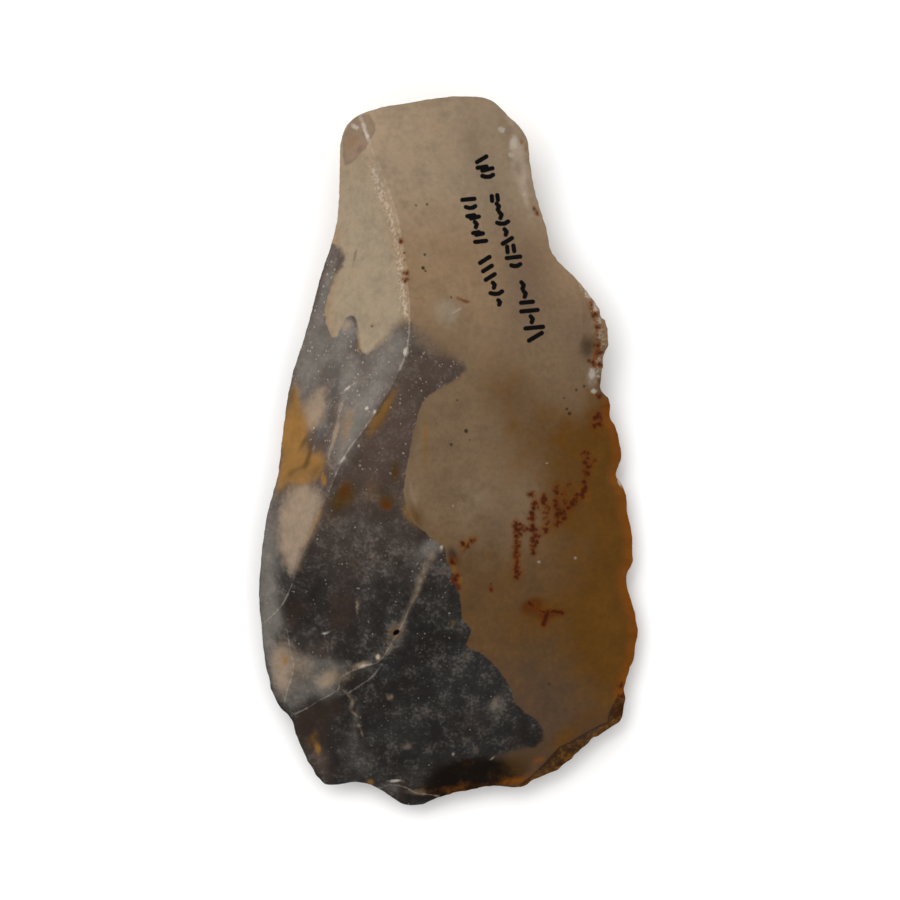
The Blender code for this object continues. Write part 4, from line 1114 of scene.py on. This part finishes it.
markLayers = [
    ("flesh", "corner", {"mottle": 0.5}, -0.05, 0.12, 0.0, 0.95),
    # red-brown layer: partly stain, partly painted shade in the hollow and below the lower ridge
    ("redBrownAndPaintedShade", "redBrownAndPaintedShade", {"mottle": 0.6, "freckle": 0.3}, 0.1, 0.9, 0.0, 0.9),
    ("translucent", "translucent", {"mottle": 0.7, "freckle": 0.2}, 0.05, 0.95, 0.0, 0.97),
    # crust, partly painted light beside the vein and above the heel
    ("pale", "pale", {"mottle": 0.4, "freckle": 0.25}, 0.05, 0.95, 0.0, 0.92),
    ("amber", "amber", {"mottle": 0.4, "freckle": 0.25}, 0.0, 1.0, 0.0, 0.95),
    ("olive", "olive", {"mottle": 0.9, "freckle": 0.5}, 0.1, 0.95, 0.0, 0.85),
    ("orangeStainAndGlow", "orangeStainAndGlow", {"mottle": 0.8, "freckle": 0.5}, 0.1, 0.9, 0.0, 0.9),
    ("russet", "russet", {"mottle": 0.6, "freckle": 0.4}, 0.1, 0.9, 0.0, 0.85),
    # orange along the working edge: partly iron stain, partly painted glow of light through the thin edge
    ("orangeStainAndGlow", "worked", {"freckle": 0.8, "mottle": 1.4}, 0.3, 1.9, 0.9, 0.0),
    ("bandDark", "band", {"freckle": 0.3}, -0.15, 0.15, 0.0, 0.85),
    ("ochre", "band", {"mottle": 1.6, "freckle": 1.4}, 0.12, 0.6, 0.0, 0.8),
    ("bandLight", "band", {"freckle": 2.4, "mottle": 1.2}, 0.45, 0.95, 0.0, 0.7),
    # pale lines along the crests: partly wear, partly painted highlight
    ("worn", "worn", {"freckle": 0.4, "mottle": 0.4}, -0.18, 0.12, 0.0, 0.5),
    ("amber", "crush", {"mottle": 3.0}, 0.6, 1.6, 0.0, 0.4),
    ("white", "crush", {"speckle": 2.8, "freckle": 1.2}, 0.5, 1.5, 0.0, 0.65),
    ("white", "white", {"freckle": 0.5}, -0.14, 0.18, 0.0, 0.8),
    ("rustHalo", "rust", {"freckle": 0.9, "speckle": 0.3}, -0.45, 0.08, 0.0, 0.8),
    ("rust", "rust", {"freckle": 0.8, "speckle": 0.3}, -0.12, 0.18, 0.0, 0.85),
    ("soot", "soot", {"freckle": 0.5}, -0.14, 0.08, 0.0, 0.8),
    ("pit", "pit", {}, 0.0, 0.12, 0.0, 1.0),
    ("ink", "ink", {"freckle": 0.12}, -0.07, 0.05, 0.0, 1.0),
]


def linearColour(code):
    # sRGB hex to the linear values that a shader takes
    channels = [int(code[i:i + 2], 16) / 255 for i in (1, 3, 5)]
    return tuple(c / 12.92 if c <= 0.04045 else ((c + 0.055) / 1.055) ** 2.4 for c in channels) + (1.0,)


def addNode(tree, kind, links=None, **settings):
    # one node, with its own settings, and its sockets set to a value or linked to another node
    made = tree.nodes.new("ShaderNode" + kind)
    for name, value in settings.items():
        setattr(made, name, value)
    for socket, value in (links or {}).items():
        if isinstance(value, bpy.types.NodeSocket):
            tree.links.new(value, made.inputs[socket])
        else:
            made.inputs[socket].default_value = value
    return made


def weighedSum(tree, fields, total, weights):
    # a value shifted by each pattern, which runs evenly above and below 0.5
    for name, weight in weights.items():
        shifted = addNode(tree, "Math", {0: fields[name], 1: 0.5}, operation="SUBTRACT").outputs[0]
        total = addNode(tree, "Math", {0: shifted, 1: weight, 2: total}, operation="MULTIPLY_ADD").outputs[0]
    return total


def layColours(tree, fields, colour, layers):
    # each finish laid over those before it, as far as its mask reaches
    for finish, mask, frays, low, high, least, most in layers:
        edge = weighedSum(tree, fields, fields[mask], frays)
        links = {"Value": edge, 1: low, 2: high, 3: least, 4: most}
        share = addNode(tree, "MapRange", links, interpolation_type="SMOOTHSTEP").outputs[0]
        links = {0: share, 6: colour, 7: linearColour(flint[finish])}
        colour = addNode(tree, "Mix", links, data_type="RGBA").outputs[2]
    return colour


def patinatedFlint():
    # Knapped flint, a glassy quartz rock: struck faces are smooth with a low waxy shine. Lying in the
    # ground gave half of it an opaque tan skin, and iron in the water stained its thin edges amber. The
    # orange along the thin working edge is partly painted glow of light passing through the flint.
    material = bpy.data.materials.new("knappedFlintPatina")
    material.use_nodes = True
    tree = material.node_tree
    shader = tree.nodes["Principled BSDF"]
    place = addNode(tree, "TexCoord").outputs["Object"]
    inMm = addNode(tree, "VectorMath", {0: place, 1: (1000, 1000, 1000)}, operation="MULTIPLY").outputs[0]
    fields = {"along": addNode(tree, "SeparateXYZ", {0: inMm}).outputs["Y"]}
    for name, (size, detail, rough) in patterns.items():
        links = {"Vector": inMm, "Scale": 1 / size, "Detail": detail, "Roughness": rough}
        fields[name] = addNode(tree, "TexNoise", links).outputs["Fac"]
    # bright crystals, each in its own cell and of its own size
    cells = addNode(tree, "TexVoronoi", {"Vector": inMm, "Scale": 1 / flint["fleckCell"]})
    links = {0: cells.outputs["Color"], 1: flint["fleckSize"], 2: cells.outputs["Distance"]}
    fields["flecks"] = addNode(tree, "Math", links, operation="MULTIPLY_ADD").outputs[0]
    for name in maskNames:
        fields[name] = addNode(tree, "Attribute", attribute_name=name).outputs["Fac"]

    grey = layColours(tree, fields, linearColour(flint["greyDark"]), greyLayers)
    tan = layColours(tree, fields, linearColour(flint["tanEnd"]), tanLayers)
    border = weighedSum(tree, fields, fields["patina"], fray)
    links = {0: fields["haze"], 1: flint["borderHaze"], 2: flint["borderLeast"]}
    spread = addNode(tree, "Math", links, operation="MULTIPLY_ADD").outputs[0]
    inward = addNode(tree, "Math", {0: spread, 1: -1.0}, operation="MULTIPLY").outputs[0]
    links = {"Value": border, 1: inward, 2: spread}
    skin = addNode(tree, "MapRange", links, interpolation_type="SMOOTHSTEP").outputs[0]
    colour = addNode(tree, "Mix", {0: skin, 6: grey, 7: tan}, data_type="RGBA").outputs[2]
    colour = layColours(tree, fields, colour, markLayers)
    uneven = weighedSum(tree, fields, 1.0, mottling)
    colour = addNode(tree, "VectorMath", {0: colour, "Scale": uneven}, operation="SCALE").outputs[0]
    tree.links.new(colour, shader.inputs["Base Color"])

    swing = flint["glossSwing"]
    links = {0: fields["freckle"], 1: swing, 2: flint["roughness"] - swing / 2}
    gloss = addNode(tree, "Math", links, operation="MULTIPLY_ADD")
    tree.links.new(gloss.outputs[0], shader.inputs["Roughness"])
    shader.inputs["IOR"].default_value = flint["ior"]
    shader.inputs["Specular IOR Level"].default_value = flint["specular"]
    links = {0: fields["freckle"], 1: flint["freckleRelief"], 2: fields["grain"]}
    relief = addNode(tree, "Math", links, operation="MULTIPLY_ADD").outputs[0]
    bump = addNode(tree, "Bump", {"Strength": 1.0, "Distance": flint["grainDepth"] * mm, "Height": relief})
    tree.links.new(bump.outputs[0], shader.inputs["Normal"])
    return material


stoneMesh = makeStone()
stoneMesh.materials.append(patinatedFlint())
scraper = bpy.data.objects.new("scraperStone", stoneMesh)
bpy.context.scene.collection.objects.link(scraper)
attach(scraper, "root")
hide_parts("flint_scraper")
print("stone made")


# ---- table, light and camera

studio = {
    "floorSize": 3.0,
    "floorColour": "#FAF9F8",
    "lens": 135.0,
    "pictureWidth": 0.12113,   # how much of the table the picture takes in
    "aim": (0.00018, 0.00042, 0.0075),
    "keyPlace": (-0.50, 0.66, 0.30),
    "keySize": 1.2,
    "keyPower": 7.7,
    "walls": 0.95,
    "ceiling": 1.20,
    "zenith": 0.35,            # share of that straight overhead, which a shiny top would mirror
    "window": 0.75,            # how much brighter the wall behind the softbox is
    "windowWay": (-0.6, 0.8, 0.0),
    "ceilingFrom": (0.25, 0.6),    # height in the sky, from and to, over which each comes in
    "zenithFrom": (0.70, 0.93),
    "cardRoughness": 0.9,
    "sensor": 36.0,            # mm
    "clip": 0.01,
}


def whitePaper():
    # matt white card: even and without shine, so only the soft shadow shows on it
    material = bpy.data.materials.new("mattWhiteCard")
    material.use_nodes = True
    tree = material.node_tree
    shader = tree.nodes["Principled BSDF"]
    shader.inputs["Base Color"].default_value = linearColour(studio["floorColour"])
    shader.inputs["Roughness"].default_value = studio["cardRoughness"]
    return material


def makeStudio():
    half = studio["floorSize"] / 2
    mesh = bpy.data.meshes.new("table")
    corners = [(-half, -half, 0), (half, -half, 0), (half, half, 0), (-half, half, 0)]
    mesh.from_pydata(corners, [], [(0, 1, 2, 3)])
    mesh.materials.append(whitePaper())
    table = bpy.data.objects.new("table", mesh)
    bpy.context.scene.collection.objects.link(table)

    lamp = bpy.data.lights.new("softbox", "AREA")
    lamp.shape = "SQUARE"
    lamp.size = studio["keySize"]
    lamp.energy = studio["keyPower"]
    softbox = bpy.data.objects.new("softbox", lamp)
    softbox.location = studio["keyPlace"]
    softbox.rotation_euler = (-Vector(studio["keyPlace"])).to_track_quat("-Z", "Y").to_euler()
    bpy.context.scene.collection.objects.link(softbox)

    # a pale room, lit evenly from above and brighter on the softbox's side
    world = bpy.data.worlds.new("studio")
    world.use_nodes = True
    tree = world.node_tree
    direction = addNode(tree, "TexCoord").outputs["Generated"]
    height = addNode(tree, "SeparateXYZ", {0: direction}).outputs["Z"]
    low, high = studio["ceilingFrom"]
    links = {"Value": height, 1: low, 2: high, 3: studio["walls"], 4: studio["ceiling"]}
    room = addNode(tree, "MapRange", links, interpolation_type="SMOOTHSTEP").outputs[0]
    low, high = studio["zenithFrom"]
    links = {"Value": height, 1: low, 2: high, 3: 1.0, 4: studio["zenith"]}
    overhead = addNode(tree, "MapRange", links, interpolation_type="SMOOTHSTEP").outputs[0]
    room = addNode(tree, "Math", {0: room, 1: overhead}, operation="MULTIPLY").outputs[0]
    links = {0: direction, 1: studio["windowWay"]}
    towards = addNode(tree, "VectorMath", links, operation="DOT_PRODUCT")
    links = {"Value": towards.outputs["Value"], 1: 0.1, 2: 1.0, 3: 0.0, 4: studio["window"]}
    window = addNode(tree, "MapRange", links, interpolation_type="SMOOTHSTEP").outputs[0]
    both = addNode(tree, "Math", {0: room, 1: window}, operation="ADD").outputs[0]
    tree.links.new(both, tree.nodes["Background"].inputs["Strength"])
    tree.nodes["Background"].inputs["Color"].default_value = (1.0, 1.0, 1.0, 1.0)
    bpy.context.scene.world = world

    lens = bpy.data.cameras.new("camera")
    lens.lens = studio["lens"]
    lens.sensor_width = studio["sensor"]
    lens.clip_start = studio["clip"]
    camera = bpy.data.objects.new("camera", lens)
    away = studio["pictureWidth"] * studio["lens"] / lens.sensor_width
    camera.location = Vector(studio["aim"]) + Vector((0.0, 0.0, away))
    bpy.context.scene.collection.objects.link(camera)
    bpy.context.scene.camera = camera
    bpy.context.scene.view_settings.view_transform = "Standard"


makeStudio()
print("studio set")
